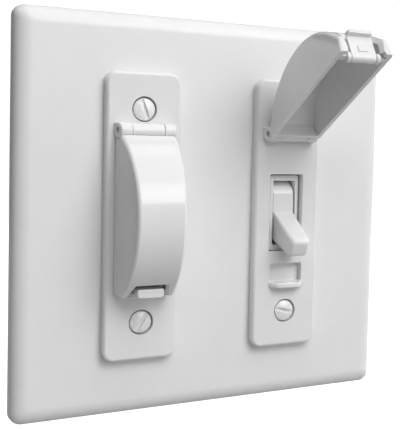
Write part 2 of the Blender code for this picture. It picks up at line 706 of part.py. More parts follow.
def contact_arm(side, parent):
    """The rocking arm, a strip curved about the toggle's axis, drawn level about its fulcrum."""
    inner_r, outer_r, steps = DRUM_R + 0.6, DRUM_R + 1.5, 8

    def arc(radius):
        """(y, z) points from the top of the arm to the bottom."""
        angles = [math.radians(34) * (1 - 2 * i / steps) for i in range(steps + 1)]
        return [(PIVOT_Y + radius * math.cos(a), radius * math.sin(a)) for a in angles]

    inner = arc(inner_r)
    end_y = inner[-1][0]
    tab = [(end_y - 0.05, -10.8), (end_y + 0.85, -10.8)]
    arm = prism(inner + tab + arc(outer_r)[::-1], -2.2, 2.2)
    # fulcrum blade, then the round contact
    join(arm, box(-1.8, 1.8, PIVOT_Y + outer_r - 0.3, ARM_Y + 0.1, -0.45, 0.45))
    join(arm, cylinder((0, 0, -9.5), "Y", 1.3, end_y + 0.5, end_y + 1.5, 10))
    finish(move(arm, y=-ARM_Y), side + "_contact_arm", "contact_brass", parent)


# ---- toggle; both pieces are drawn about the toggle axis, with the lever along -Y ----
def toggle(side, parent):
    """The lever, its drum and its trunnions in one moulding."""
    tilt = math.radians(TOGGLE_TILT)
    spread = math.acos(DRUM_FLAT / DRUM_R)
    # (y, z) of the upper half, from the lever's axis round to the rear
    upper = [(-DRUM_FLAT / math.cos(tilt), 0.0)]
    for i in range(9):
        angle = tilt + spread + math.radians(40) * i / 8
        upper.append((-DRUM_R * math.cos(angle), DRUM_R * math.sin(angle)))
    upper += [(3.4, 4.4), (5.0, 3.2), (8.6, 2.9)]
    lower = [(y, -z) for y, z in reversed(upper[1:])]
    body = prism(upper + lower, -DRUM_X, DRUM_X)
    root_x = DRUM_X - 0.02
    lever = [
        (-4.0, root_x, LEVER_ROOT_Z, 0.5),
        (LEVER_ROOT, root_x, LEVER_ROOT_Z, 0.5),
        (LEVER_TIP + 1.3, LEVER_TIP_X + 0.03, LEVER_TIP_Z + 0.1, 0.7),
        (LEVER_TIP + 0.4, LEVER_TIP_X - 0.25, LEVER_TIP_Z - 0.3, 0.8),
        (LEVER_TIP, LEVER_TIP_X - 0.95, LEVER_TIP_Z - 1.0, 0.8),
    ]
    join(body, rect_loft(lever, steps=2))
    join(body, cylinder((0, 0, 0), "X", TRUNNION_R, -TRUNNION_X, TRUNNION_X, 16))
    # spring bore in the tail
    cut(body, cylinder((0, 0, 0), "Y", 1.9, 4.6, 10.0, 12))
    finish(body, side + "_toggle", "toggle_plastic", parent)


def detent_spring(side, parent):
    """The coil spring in the toggle's tail that snaps the contact arm over."""
    coils, per_turn, wire_sides = 4, 8, 5
    wire_r, coil_r = 0.25, 1.35
    y_front, y_back = 5.2, 9.9
    count = coils * per_turn
    rise = (y_back - y_front) / count * per_turn / (2 * math.pi)  # advance per radian
    rings = []
    for i in range(count + 1):
        angle = 2 * math.pi * i / per_turn
        cos, sin = math.cos(angle), math.sin(angle)
        centre = Vector((coil_r * cos, y_front + (y_back - y_front) * i / count, coil_r * sin))
        tangent = Vector((-coil_r * sin, rise, coil_r * cos)).normalized()
        outward = Vector((cos, 0.0, sin))
        sideways = tangent.cross(outward).normalized()
        ring = []
        for k in range(wire_sides):
            around = 2 * math.pi * k / wire_sides
            offset = (outward * math.cos(around) + sideways * math.sin(around)) * wire_r
            ring.append(tuple(centre + offset))
        rings.append(ring)
    finish(loft(rings), side + "_detent_spring", "pin_steel", parent)


# ---- assembly ----
def guard(side, gang_x, cover_deg):
    guard_base(side, gang_x)
    hinge_pin(side, gang_x)
    hinge = pivot(side + "_cover_axis", gang_x, HINGE_AXIS[1], HINGE_AXIS[2], cover_deg)
    guard_cover(side, hinge)
    latch_y, latch_z = LATCH_AXIS[1] - HINGE_AXIS[1], LATCH_AXIS[2] - HINGE_AXIS[2]
    latch_axis = pivot(side + "_latch_axis", 0.0, latch_y, latch_z, parent=hinge)
    latch(side, latch_axis)
    latch_pin(side, latch_axis)


def switch(side, gang_x, tilt):
    for build in (strap, switch_front, switch_base, line_terminal, load_terminal):
        build(side, gang_x)
    terminal_and_ground_screws(side, gang_x)
    device_screw(side + "_upper_device_screw", gang_x, DEVICE_SCREW_Z, 10)
    device_screw(side + "_lower_device_screw", gang_x, -DEVICE_SCREW_Z, 80)
    toggle_axis = pivot(side + "_toggle_axis", gang_x, PIVOT_Y, 0.0, tilt)
    toggle(side, toggle_axis)
    detent_spring(side, toggle_axis)
    contact_arm(side, pivot(side + "_arm_axis", gang_x, ARM_Y, 0.0, -ARM_RATIO * tilt))


# side, gang x, cover angle, toggle tilt, slot angles of the upper and lower plate screws
GANGS = (
    ("left", -GANG_PITCH / 2, 0.0, TOGGLE_TILT, -14, 30),
    ("right", GANG_PITCH / 2, COVER_OPEN_DEG, -TOGGLE_TILT, 24, -76),
)

wall_plate()
for side, gang_x, cover_deg, tilt, upper_deg, lower_deg in GANGS:
    guard(side, gang_x, cover_deg)
    plate_screw(side + "_upper_plate_screw", gang_x, SCREW_Z, upper_deg)
    plate_screw(side + "_lower_plate_screw", gang_x, -SCREW_Z, lower_deg)
    switch(side, gang_x, tilt)
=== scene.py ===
"""Looks for the two-gang guarded toggle switch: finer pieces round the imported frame, materials, studio and camera.

Pieces are drawn in millimetres, in the frame's own axes, and scaled to metres when they are hung on their bodies.
"""

import json
import math

import bmesh
import bpy
from mathutils import Matrix, Vector


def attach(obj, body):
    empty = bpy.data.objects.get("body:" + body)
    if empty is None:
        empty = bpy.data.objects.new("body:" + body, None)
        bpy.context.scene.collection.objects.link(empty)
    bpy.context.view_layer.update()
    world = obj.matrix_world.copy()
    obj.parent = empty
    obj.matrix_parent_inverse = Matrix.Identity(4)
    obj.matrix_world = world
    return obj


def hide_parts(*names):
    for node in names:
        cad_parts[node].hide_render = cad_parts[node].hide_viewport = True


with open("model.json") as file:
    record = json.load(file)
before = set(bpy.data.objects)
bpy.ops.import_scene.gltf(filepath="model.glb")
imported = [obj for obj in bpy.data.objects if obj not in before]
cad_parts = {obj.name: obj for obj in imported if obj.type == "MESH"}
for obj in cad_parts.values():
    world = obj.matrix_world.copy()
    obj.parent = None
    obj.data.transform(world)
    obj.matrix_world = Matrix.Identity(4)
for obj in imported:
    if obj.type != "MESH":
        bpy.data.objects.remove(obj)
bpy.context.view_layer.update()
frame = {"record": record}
RECORD = frame["record"]
BODY_OF = {n: b for b, ns in RECORD["behaviour"]["bodies"].items() for n in ns}
SLOT_OF = {s["node"]: s["material_slot"] for s in RECORD["subparts"]}
ROUND_DEG = 28.0  # edges flatter than this are shaded smooth

# ---- dimensions, as in the CAD ------------------------------------------------------------------------------------
GAP = 0.3
PLATE_W, PLATE_H, PLATE_T = 115.8, 114.3, 5.6
PLATE_CORNER, PLATE_SIDE, PLATE_SHOULDER, PLATE_SKIN, RIB_X = 3.2, 2.2, 4.7, 2.3, 1.0
GANG_PITCH = 46.04
OPEN_W, OPEN_H = 10.3, 23.8
SCREW_Z = 30.1625
BASE_W, BASE_H, BASE_ZC = 21.65, 81.5, -0.15
BASE_BACK, FRONT = 5.8, 8.6
BASE_CORNER, BASE_EDGE = 3.0, 0.9
BASE_OPEN_X, BASE_OPEN_TOP, BASE_OPEN_BOTTOM = 5.6, 11.95, -11.65
POCKET_X, POCKET_TOP, POCKET_DEPTH = 5.75, -15.5, 2.0
LEDGE_TOP, LEDGE_T, LEDGE_OUT = -21.1, 1.65, 2.8
RECESS_R, SCREW_HEAD_R, SCREW_R = 3.68, 3.3, 1.7
HINGE_Z, HINGE_V = 24.15, 2.1
KNUCKLE_R, KNUCKLE_IN, KNUCKLE_OUT, KNUCKLE_DRAFT = 2.2, 4.65, 8.85, 0.2
BARREL_R, BARREL_X = 2.1, 4.35
PIN_R, PIN_BORE_R, PIN_X = 0.7, 0.95, 7.9
COVER_HALF, COVER_DRAFT, COVER_WALL = 8.4, 0.091, 1.3
ARC_U, ARC_V, ARC_R = 23.7, -9.81, 26.42
ARC_END_U, COVER_END_U, RIM_V = 42.5, 46.3, 0.25
COVER_OPEN_DEG = 121.0
LATCH_U, LATCH_V, LATCH_R, LATCH_X = 43.3, 0.6, 1.35, 3.85
LATCH_T, LATCH_TIP_V, LIP_U = 1.3, 7.9, 46.1
SLOT_TOP_U, SLOT_TOP_X, SLOT_END_X = 42.3, 4.7, 5.2
LATCH_PIN_R, LATCH_BORE_R, LATCH_PIN_X = 0.6, 0.85, 5.9
PIVOT_Y = 3.0
TOGGLE_TILT = 26.3
DRUM_R, DRUM_FLAT, DRUM_X = 11.0, 8.9, 3.45
LEVER_ROOT, LEVER_TIP = -8.0, -22.8
LEVER_ROOT_H, LEVER_TIP_H, LEVER_TIP_X = 4.2, 2.9, 3.1
COLLAR_X, COLLAR_Z, COLLAR_FRONT = 4.85, 11.6, -6.5
THROAT_X, THROAT_Z, THROAT_Y = 3.8, 9.6, -2.9
BODY_X, BODY_Z = 16.5, 33.0
ARM_RATIO, ARM_Y = 0.3, 16.0
STRAP_X, STRAP_Z, STRAP_T, STRAP_STEP, STRAP_STEP_Z = 9.5, 53.0, 1.2, 0.2, 34.0
EAR_X = 15.5
DEVICE_SCREW_Z = 41.67

# ---- finer than the CAD: running gaps, edge roundings and the shapes they leave --------------------------------------
SEAM_IN, SEAM_BARREL, SEAM_R = 4.71, 4.62, 0.12
COVER_EDGE, COVER_INNER_EDGE, COVER_TOP_IN = 1.05, 0.45, 2.75
OPEN_LEFT, OPEN_RIGHT, OPEN_EDGE = -5.83, 5.17, 0.42
COLLAR_IN_LEFT, COLLAR_IN_RIGHT, COLLAR_IN_Z = -3.82, 3.62, 9.85
POCKET_HALF, BOSS_X = 5.42, 5.15
HEAD_R, RING_R = 3.12, 3.6


# ---- mesh helpers ---------------------------------------------------------------------------------------------------
def obj_from(bm, name="tmp"):
    bmesh.ops.recalc_face_normals(bm, faces=bm.faces)
    mesh = bpy.data.meshes.new(name)
    bm.to_mesh(mesh)
    bm.free()
    o = bpy.data.objects.new(name, mesh)
    bpy.context.scene.collection.objects.link(o)
    return o


def loft(rings):
    bm = bmesh.new()
    loops = [[bm.verts.new(Vector(p)) for p in ring] for ring in rings]
    n = len(rings[0])
    for a, b in zip(loops, loops[1:]):
        for i in range(n):
            bm.faces.new((a[i], a[(i + 1) % n], b[(i + 1) % n], b[i]))
    bm.faces.new(loops[0])
    bm.faces.new(loops[-1])
    return obj_from(bm)


def rounded_rect(hx, hz, r, steps):
    pts = []
    for cx, cz, a0 in ((hx - r, hz - r, 0), (-hx + r, hz - r, 90), (-hx + r, -hz + r, 180), (hx - r, -hz + r, 270)):
        for i in range(steps + 1):
            a = math.radians(a0 + 90 * i / steps)
            pts.append((cx + r * math.cos(a), cz + r * math.sin(a)))
    return pts


def slab(hx, hz, r, levels, cx=0.0, cz=0.0, steps=10):
    """A rounded rectangle lofted along Y; levels holds (inset, corner radius or None, y)."""
    rings = []
    for inset, rr, y in levels:
        c = max(0.12, (r - inset) if rr is None else rr)
        rings.append([(cx + x, y, cz + z) for x, z in rounded_rect(hx - inset, hz - inset, c, steps)])
    return loft(rings)


def fillet_levels(back, front, radius, steps=5):
    """Levels for slab: straight from back, then a quarter round into the face at front. front may be either side of back."""
    way = 1 if front > back else -1
    out = [(0.0, None, back)]
    for i in range(steps + 1):
        t = math.radians(90 * i / steps)
        out.append((radius * (1 - math.cos(t)), None, front - way * radius * (1 - math.sin(t))))
    return out


def both_fillets(back, front, radius, steps=4):
    """Levels for slab with both ends rounded."""
    way = 1 if front > back else -1
    out = []
    for i in range(steps + 1):
        t = math.radians(90 * i / steps)
        out.append((radius * (1 - math.sin(t)), None, back + way * radius * (1 - math.cos(t))))
    return out + fillet_levels(back, front, radius, steps)[1:]


def mouth_levels(deep, front, flare, steps=4, over=2.0):
    """Levels for a cutter whose mouth at front is rounded outwards by flare."""
    way = 1 if front > deep else -1
    out = [(0.0, None, deep), (0.0, None, front - way * flare)]
    for i in range(1, steps + 1):
        t = math.radians(90 * i / steps)
        out.append((-flare * (1 - math.cos(t)), None, front - way * flare * (1 - math.sin(t))))
    out.append((-flare, None, front + way * over))
    return out


def box(x0, x1, y0, y1, z0, z1):
    return loft([[(x0, y0, z0), (x1, y0, z0), (x1, y1, z0), (x0, y1, z0)], [(x0, y0, z1), (x1, y0, z1), (x1, y1, z1), (x0, y1, z1)]])


def soft_box(x0, x1, y0, y1, z0, z1, r=0.25, steps=3):
    """A box with every edge rounded."""
    cx, cz, hx, hz = (x0 + x1) / 2, (z0 + z1) / 2, (x1 - x0) / 2, (z1 - z0) / 2
    r = min(r, hx * 0.9, hz * 0.9, (y1 - y0) * 0.45)
    return slab(hx, hz, r * 1.05, both_fillets(y0, y1, r, steps), cx, cz, steps)


def turned(centre, axis, profile, n=48):
    rings = []
    for t, r in profile:
        ring = []
        for i in range(n):
            a = 2 * math.pi * (i + 0.5) / n
            c, s = r * math.cos(a), r * math.sin(a)
            ring.append((t, centre[1] + c, centre[2] + s) if axis == "X" else (centre[0] + c, t, centre[2] + s))
        rings.append(ring)
    return loft(rings)


def cylinder(centre, axis, r, lo, hi, n=48):
    return turned(centre, axis, [(lo, r), (hi, r)], n)


def pin(centre, axis, r, lo, hi, edge=0.15, n=40):
    """A cylinder with rounded ends."""
    prof = [(lo, r - edge), (lo + edge * 0.3, r - edge * 0.3), (lo + edge, r), (hi - edge, r), (hi - edge * 0.3, r - edge * 0.3), (hi, r - edge)]
    return turned(centre, axis, prof, n)


def prism(points, x0, x1):
    f0 = x0 if callable(x0) else (lambda y, z: x0)
    f1 = x1 if callable(x1) else (lambda y, z: x1)
    return loft([[(f0(y, z), y, z) for y, z in points], [(f1(y, z), y, z) for y, z in points]])


def combine(target, other, operation):
    mod = target.modifiers.new("bool", "BOOLEAN")
    mod.operation = operation
    mod.object = other
    mod.solver = "EXACT"
    deps = bpy.context.evaluated_depsgraph_get()
    mesh = bpy.data.meshes.new_from_object(target.evaluated_get(deps))
    target.modifiers.clear()
    old = target.data
    target.data = mesh
    bpy.data.meshes.remove(old)
    data = other.data
    bpy.data.objects.remove(other, do_unlink=True)
    bpy.data.meshes.remove(data)
    return target


def cut(target, *others):
    for o in others:
        combine(target, o, "DIFFERENCE")
    return target


def join(target, *others):
    for o in others:
        combine(target, o, "UNION")
    return target


def tidy(o):
    """Merges the solver's doubled points and its needless edges across flat faces."""
    bm = bmesh.new()
    bm.from_mesh(o.data)
    bmesh.ops.remove_doubles(bm, verts=bm.verts, dist=1e-4)
    bmesh.ops.dissolve_degenerate(bm, edges=bm.edges, dist=1e-4)
    bmesh.ops.dissolve_limit(bm, angle_limit=math.radians(0.2), verts=bm.verts, edges=bm.edges)
    bmesh.ops.recalc_face_normals(bm, faces=bm.faces)
    bm.to_mesh(o.data)
    bm.free()
    return o


def soften(o, width, segments, pick, angle=25.0):
    """Rounds the sharp edges of o for which pick(a, b) is true."""
    bm = bmesh.new()
    bm.from_mesh(o.data)
    edges = [
        e
        for e in bm.edges
        if len(e.link_faces) == 2 and e.calc_face_angle(0.0) > math.radians(angle) and pick(e.verts[0].co, e.verts[1].co)
    ]
    bmesh.ops.bevel(bm, geom=edges, offset=width, segments=segments, profile=0.5, affect="EDGES", clamp_overlap=True)
    bmesh.ops.recalc_face_normals(bm, faces=bm.faces)
    bm.to_mesh(o.data)
    bm.free()
    return o


def yv(v):
    return -(FRONT + v)


def zu(u):
    return HINGE_Z - u


def vu(points):
    return [(yv(v), zu(u)) for v, u in points]


def arc_v(u, r):
    return ARC_V + math.sqrt(r * r - (u - ARC_U) ** 2)


def about(y, z):
    """A move that brings the axis through (y, z) to the origin."""
    return Matrix.Translation(Vector((0.0, -y, -z)))


def turn_at(x, y, z, degrees):
    """Puts a piece drawn about its own axis at (x, y, z), turned by degrees about -X."""
    return Matrix.Translation(Vector((x, y, z))) @ Matrix.Rotation(-math.radians(degrees), 4, "X")


# ---- materials ------------------------------------------------------------------------------------------------------
def node_material(name):
    mat = bpy.data.materials.new(name)
    mat.use_nodes = True
    nt = mat.node_tree
    shader = nt.nodes["Principled BSDF"]
    coord = nt.nodes.new("ShaderNodeTexCoord")
    mapping = nt.nodes.new("ShaderNodeMapping")
    mapping.inputs["Scale"].default_value = (1000, 1000, 1000)  # texture sizes below are in millimetres
    nt.links.new(coord.outputs["Object"], mapping.inputs["Vector"])
    return mat, nt, shader, mapping


def noise(nt, mapping, scale, detail=2.0, rough=0.5):
    n = nt.nodes.new("ShaderNodeTexNoise")
    n.inputs["Scale"].default_value = scale
    n.inputs["Detail"].default_value = detail
    n.inputs["Roughness"].default_value = rough
    nt.links.new(mapping.outputs["Vector"], n.inputs["Vector"])
    return n.outputs["Fac"]


def spread(nt, fac, lo, hi, a=0.3, b=0.7):
    m = nt.nodes.new("ShaderNodeMapRange")
    m.inputs["From Min"].default_value, m.inputs["From Max"].default_value = a, b
    m.inputs["To Min"].default_value, m.inputs["To Max"].default_value = lo, hi
    nt.links.new(fac, m.inputs["Value"])
    return m.outputs["Result"]


def tint(nt, fac, dark, light, a=0.3, b=0.7):
    ramp = nt.nodes.new("ShaderNodeValToRGB")
    ramp.color_ramp.elements[0].position, ramp.color_ramp.elements[1].position = a, b
    ramp.color_ramp.elements[0].color = (*dark, 1.0)
    ramp.color_ramp.elements[1].color = (*light, 1.0)
    nt.links.new(fac, ramp.inputs["Fac"])
    return ramp.outputs["Color"]


def bump(nt, height, distance_mm, strength, normal=None):
    b = nt.nodes.new("ShaderNodeBump")
    b.inputs["Distance"].default_value = distance_mm * 0.001
    b.inputs["Strength"].default_value = strength
    nt.links.new(height, b.inputs["Height"])
    if normal is not None:
        nt.links.new(normal, b.inputs["Normal"])
    return b.outputs["Normal"]


def moulded(name, value, rough, grain=0.010, spec=0.5, sub=0.0, warm=(1.0, 1.0, 1.0)):
    """Injection-moulded plastic: a faint flow mottling, a fine satin grain and slow waves from the tool."""
    mat, nt, shader, mapping = node_material(name)
    low = tuple(value * 0.985 * w for w in warm)
    high = tuple(min(1.0, value * 1.012) * w for w in warm)
    nt.links.new(tint(nt, noise(nt, mapping, 0.09, 3.0, 0.6), low, high), shader.inputs["Base Color"])
    nt.links.new(spread(nt, noise(nt, mapping, 0.7, 4.0, 0.55), rough * 0.88, rough * 1.14), shader.inputs["Roughness"])
    wave = bump(nt, noise(nt, mapping, 0.12, 1.0, 0.4), 0.02, 0.25)
    fine = bump(nt, noise(nt, mapping, 5.5, 3.0, 0.6), grain, 0.35, wave)
    nt.links.new(fine, shader.inputs["Normal"])
    shader.inputs["Specular IOR Level"].default_value = spec
    if sub:
        shader.inputs["Subsurface Weight"].default_value = sub
        shader.inputs["Subsurface Radius"].default_value = (1.0, 0.9, 0.8)
        shader.inputs["Subsurface Scale"].default_value = 0.0008
    return mat


def metal(name, colour, rough, grain_axis=None, metallic=1.0, grain=0.006):
    """Plated or drawn metal: brushed or slightly pitted, with a cloudy finish."""
    mat, nt, shader, mapping = node_material(name)
    if grain_axis is not None:
        stretch = [9.0, 9.0, 9.0]
        stretch[grain_axis] = 0.35
        fine_map = nt.nodes.new("ShaderNodeMapping")
        fine_map.inputs["Scale"].default_value = stretch
        nt.links.new(mapping.outputs["Vector"], fine_map.inputs["Vector"])
    else:
        fine_map = mapping
    low = tuple(c * 0.86 for c in colour)
    high = tuple(min(1.0, c * 1.08) for c in colour)
    nt.links.new(tint(nt, noise(nt, mapping, 0.35, 5.0, 0.65), low, high), shader.inputs["Base Color"])
    nt.links.new(spread(nt, noise(nt, fine_map, 1.0 if grain_axis is not None else 2.2, 4.0, 0.6), rough * 0.75, rough * 1.35), shader.inputs["Roughness"])
    rough_skin = bump(nt, noise(nt, fine_map, 1.4 if grain_axis is not None else 4.5, 4.0, 0.6), grain, 0.6)
    nt.links.new(rough_skin, shader.inputs["Normal"])
    shader.inputs["Metallic"].default_value = metallic
    return mat


def painted(name, value, rough):
    """Baked white paint on a screw head: thick, glossy and a little uneven."""
    mat, nt, shader, mapping = node_material(name)
    nt.links.new(tint(nt, noise(nt, mapping, 0.9, 4.0, 0.6), (value * 0.93,) * 3, (value * 1.03,) * 3), shader.inputs["Base Color"])
    nt.links.new(spread(nt, noise(nt, mapping, 1.6, 3.0, 0.6), rough * 0.7, rough * 1.4), shader.inputs["Roughness"])
    orange = bump(nt, noise(nt, mapping, 1.8, 2.0, 0.5), 0.05, 0.5)
    nt.links.new(bump(nt, noise(nt, mapping, 7.0, 3.0, 0.6), 0.008, 0.4, orange), shader.inputs["Normal"])
    shader.inputs["Coat Weight"].default_value = 0.25
    shader.inputs["Coat Roughness"].default_value = 0.12
    return mat


MATS = {
    "plate": moulded("plate_plastic", 0.80, 0.34),
    "guard": moulded("guard_plastic", 0.79, 0.12, grain=0.002),
    "toggle": moulded("toggle_plastic", 0.82, 0.16, grain=0.003),
    "housing": moulded("housing_plastic", 0.055, 0.5, grain=0.03),
    "white_screw": painted("white_screw_paint", 0.86, 0.24),
    "pin_steel": metal("pin_steel", (0.60, 0.61, 0.62), 0.28, 0),
    "strap_steel": metal("strap_steel", (0.57, 0.58, 0.60), 0.34, 2),
    "contact_brass": metal("contact_brass", (0.78, 0.58, 0.27), 0.30, 2),
    "screw_brass": metal("screw_brass", (0.76, 0.56, 0.26), 0.30),
    "ground_green": metal("ground_green", (0.06, 0.30, 0.11), 0.36, metallic=0.75),
    "screw_zinc": metal("screw_zinc", (0.62, 0.63, 0.65), 0.32),
}


def hang(o, node, matrix=None):
    """Scales a finished piece to metres, puts it in place, and hangs it on its CAD node's body."""
    tidy(o)
    o.data.transform(Matrix.Scale(0.001, 4) @ (matrix if matrix is not None else Matrix.Identity(4)))
    o.name = node + "_piece"
    o.data.name = o.name
    o.data.materials.clear()
    o.data.materials.append(MATS[SLOT_OF[node]])
    o.data.shade_smooth()
    o.data.set_sharp_from_angle(angle=math.radians(ROUND_DEG))
    mod = o.modifiers.new("normals", "WEIGHTED_NORMAL")
    mod.keep_sharp = True
    mod.weight = 60
    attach(o, BODY_OF[node])
    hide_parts(node)
    return o


def at(x):
    return Matrix.Translation(Vector((x, 0.0, 0.0)))


# ---- wall plate -----------------------------------------------------------------------------------------------------
def wall_plate():
    levels = [(0.25, None, 0.0), (0.07, None, -0.07), (0.0, None, -0.25), (0.06, None, -PLATE_SIDE)]
    for i in range(1, 17):
        t = math.radians(90 * i / 16)
        inset = 0.06 + PLATE_SHOULDER * (1 - math.cos(t))
        levels.append((inset, max(0.6, PLATE_CORNER - 0.55 * inset), -PLATE_SIDE - (PLATE_T - PLATE_SIDE) * math.sin(t)))
    o = slab(PLATE_W / 2, PLATE_H / 2, PLATE_CORNER, levels, steps=14)
    ceiling = -(PLATE_T - PLATE_SKIN)
    cut(o, slab(PLATE_W / 2 - 2.2, PLATE_H / 2 - 2.2, 2.4, [(0, None, 1.0), (0, None, ceiling + 0.8), (0.25, None, ceiling + 0.25), (0.8, None, ceiling)], steps=8))
    join(o, box(-RIB_X, RIB_X, ceiling - 0.5, 0.0, -PLATE_H / 2 + 1.5, PLATE_H / 2 - 1.5))
    for s in (-1, 1):
        x = s * GANG_PITCH / 2
        cut(o, slab(OPEN_W / 2, OPEN_H / 2, 0.6, [(0, None, 1), (0, None, -7)], cx=x, steps=5))
        for z in (-SCREW_Z, SCREW_Z):
            cut(o, turned((x, 0, z), "Y", [(1.0, 2.1), (-4.2, 2.1), (-5.62, 3.6), (-7.0, 3.6)], 40))
    hang(o, "wall_plate")


# ---- guard ----------------------------------------------------------------------------------------------------------
def knuckle(sign):
    outer = lambda y: KNUCKLE_OUT - KNUCKLE_DRAFT * (-y - FRONT)
    steps = 26
    rings = []
    ends = [("in", 0.0, 0.16), ("in", 0.05, 0.05), ("in", 0.16, 0.0), ("out", 0.55, 0.0), ("out", 0.26, 0.07), ("out", 0.09, 0.22), ("out", 0.0, 0.48)]
    for side, t, inset in ends:
        r = KNUCKLE_R - inset
        pts = [(-0.6, 0.0), (-0.6, -r)]
        for i in range(steps + 1):
            a = math.radians(-90 + 262 * i / steps)
            pts.append((HINGE_V + r * math.cos(a), r * math.sin(a)))
        ring = []
        for y, z in vu(pts):
            x = SEAM_IN + t if side == "in" else outer(y) - t
            ring.append((sign * x, y, z))
        rings.append(ring)
    return loft(rings)


def guard_base(side, gx):
    o = slab(BASE_W / 2, BASE_H / 2, BASE_CORNER, fillet_levels(-BASE_BACK, -FRONT, BASE_EDGE, 8), cz=BASE_ZC, steps=12)
    join(o, knuckle(1), knuckle(-1))
    # ledge: wide at its root, rounded in plan and on every edge
    half = [(5.75, -0.6), (5.7, 0.3), (5.42, 0.75), (5.05, 1.15), (4.75, 1.5), (4.5, 1.85), (4.25, 2.2), (3.9, 2.5), (3.4, 2.68), (2.7, 2.76), (1.5, LEDGE_OUT)]
    half = half + [(-x, v) for x, v in reversed(half)]
    rings = []
    r = 0.5
    spots = [(r * (1 - math.cos(math.radians(a))), r * (1 - math.sin(math.radians(a)))) for a in (0, 22, 45, 67, 90)]
    for up, inward in spots:
        rings.append((LEDGE_TOP - LEDGE_T + up, inward))
    for up, inward in reversed(spots):
        rings.append((LEDGE_TOP - up, inward))
    ledge = loft([[(x * (1 - inward / 9.0), yv(v - inward * min(1.0, max(0.0, (v - 0.2) / 1.4))), z) for x, v in half] for z, inward in rings])
    join(o, ledge)
    zc, zh = (BASE_OPEN_TOP + BASE_OPEN_BOTTOM) / 2, (BASE_OPEN_TOP - BASE_OPEN_BOTTOM) / 2
    xc, xh = (OPEN_LEFT + OPEN_RIGHT) / 2, (OPEN_RIGHT - OPEN_LEFT) / 2
    cut(o, slab(xh, zh, 0.5, mouth_levels(-4, -FRONT, 0.2), cx=xc, cz=zc, steps=6))
    # the long edges of the opening are rounder than its ends
    rounder = slab(xh, zh - 0.1, 0.3, mouth_levels(-FRONT + 0.9, -FRONT, OPEN_EDGE, steps=6), cx=xc, cz=zc, steps=6)
    cut(rounder, box(-9, 9, -14, 0, zc + zh + 0.12, zc + zh + 9), box(-9, 9, -14, 0, zc - zh - 9, zc - zh - 0.12))
    cut(o, rounder)
    zc, zh = (POCKET_TOP + LEDGE_TOP) / 2, (POCKET_TOP - LEDGE_TOP) / 2
    floor = -FRONT + POCKET_DEPTH
    levels = [(0.3, None, floor), (0.09, None, floor - 0.09), (0.0, None, floor - 0.3), (0.0, None, -FRONT + 0.25)]
    # the mouth is rounded at the top and sides; at the bottom the pocket runs into the ledge's own top
    cut(o, slab(POCKET_HALF, zh, 0.5, levels + [(0.0, None, -12)], cz=zc, steps=6))
    flare = slab(POCKET_HALF, zh, 0.5, mouth_levels(-FRONT + 0.5, -FRONT, 0.22, over=0.02), cz=zc, steps=6)
    cut(flare, box(-9, 9, -12, 0, -40, LEDGE_TOP))
    cut(o, flare)
    ramp = [(1.85, -0.3), (1.95, 0.12), (2.1, 0.2), (2.35, 0.22), (2.55, 0.18), (2.7, -0.3)]
    join(o, prism([(yv(v), LEDGE_TOP + h) for v, h in ramp], -1.0, 1.0))
    cut(o, cylinder((0, yv(HINGE_V), HINGE_Z), "X", BARREL_R + 0.3, -SEAM_IN, SEAM_IN, 56))
    bore = PIN_BORE_R
    for s in (-1, 1):
        edge = KNUCKLE_OUT - KNUCKLE_DRAFT * HINGE_V
        prof = [(s * 3.0, bore), (s * (edge - 0.22), bore), (s * (edge - 0.07), bore + 0.05), (s * edge, bore + 0.16), (s * 11, bore + 0.3)]
        cut(o, turned((0, yv(HINGE_V), HINGE_Z), "X", prof, 32))
    for z in (-SCREW_Z, SCREW_Z):
        prof = [(-10.0, RING_R + 0.12), (-FRONT, RING_R + 0.12), (-FRONT + 0.04, RING_R + 0.03), (-FRONT + 0.13, RING_R), (-6.75, RING_R), (-6.55, RING_R - 0.2), (-6.45, 2.1), (-5.0, 2.1)]
        cut(o, turned((0, 0, z), "Y", prof, 64))
    hang(o, side + "_guard_base", at(gx))


def shell_profile(offset, u_start, end_u, rim_v, steps, corner=0.75):
    """The cover's outline seen from the side, drawn in by offset: rim, arc, and a rounded corner into the flat end."""
    r = ARC_R - offset
    a_end = math.asin((ARC_END_U - ARC_U) / ARC_R)
    ue = ARC_U + r * math.sin(a_end)
    pts = [(rim_v, u_start)]
    for i in range(steps + 1):
        f = 0.5 - 0.5 * math.cos(math.pi * (0.12 + 0.88 * i / steps))
        u = u_start + (ue - u_start) * f if i else u_start
        pts.append((max(arc_v(u, r), rim_v + 0.5), u))
    ve, slope = arc_v(ue, r), -math.tan(a_end)
    corner_v = ve + slope * (end_u - ue)
    p0 = Vector((corner_v - slope * corner, end_u - corner))
    p1 = Vector((corner_v, end_u))
    p2 = Vector((corner_v - corner, end_u))
    for i in range(7):
        t = i / 6
        p = p0 * (1 - t) ** 2 + p1 * 2 * t * (1 - t) + p2 * t * t
        pts.append((p.x, p.y))
    pts.append((rim_v, end_u))
    return pts


def shell(half, depth, edge, u_start, end_u, rim_v, steps, turns):
    """A solid arched block whose front edges are rounded into its side walls by edge."""
    rings = []
    for sign in (-1, 1):
        stations = range(turns + 1) if sign < 0 else range(turns, -1, -1)
        for i in stations:
            t = math.radians(90 * i / turns)
            inset = edge * (1 - math.sin(t))
            ring = []
            for y, z in vu(shell_profile(depth + inset, u_start, end_u - inset, rim_v, steps)):
                ring.append((sign * (half(y) - edge * (1 - math.cos(t))), y, z))
            rings.append(ring)
    return loft(rings)


def slot_half(u, v):
    """Half-width of the latch's slot: it widens towards the free end, and its cheeks lean outwards."""
    return 4.56 + 0.53 * (u - SLOT_TOP_U) - 0.16 * (7.5 - v)


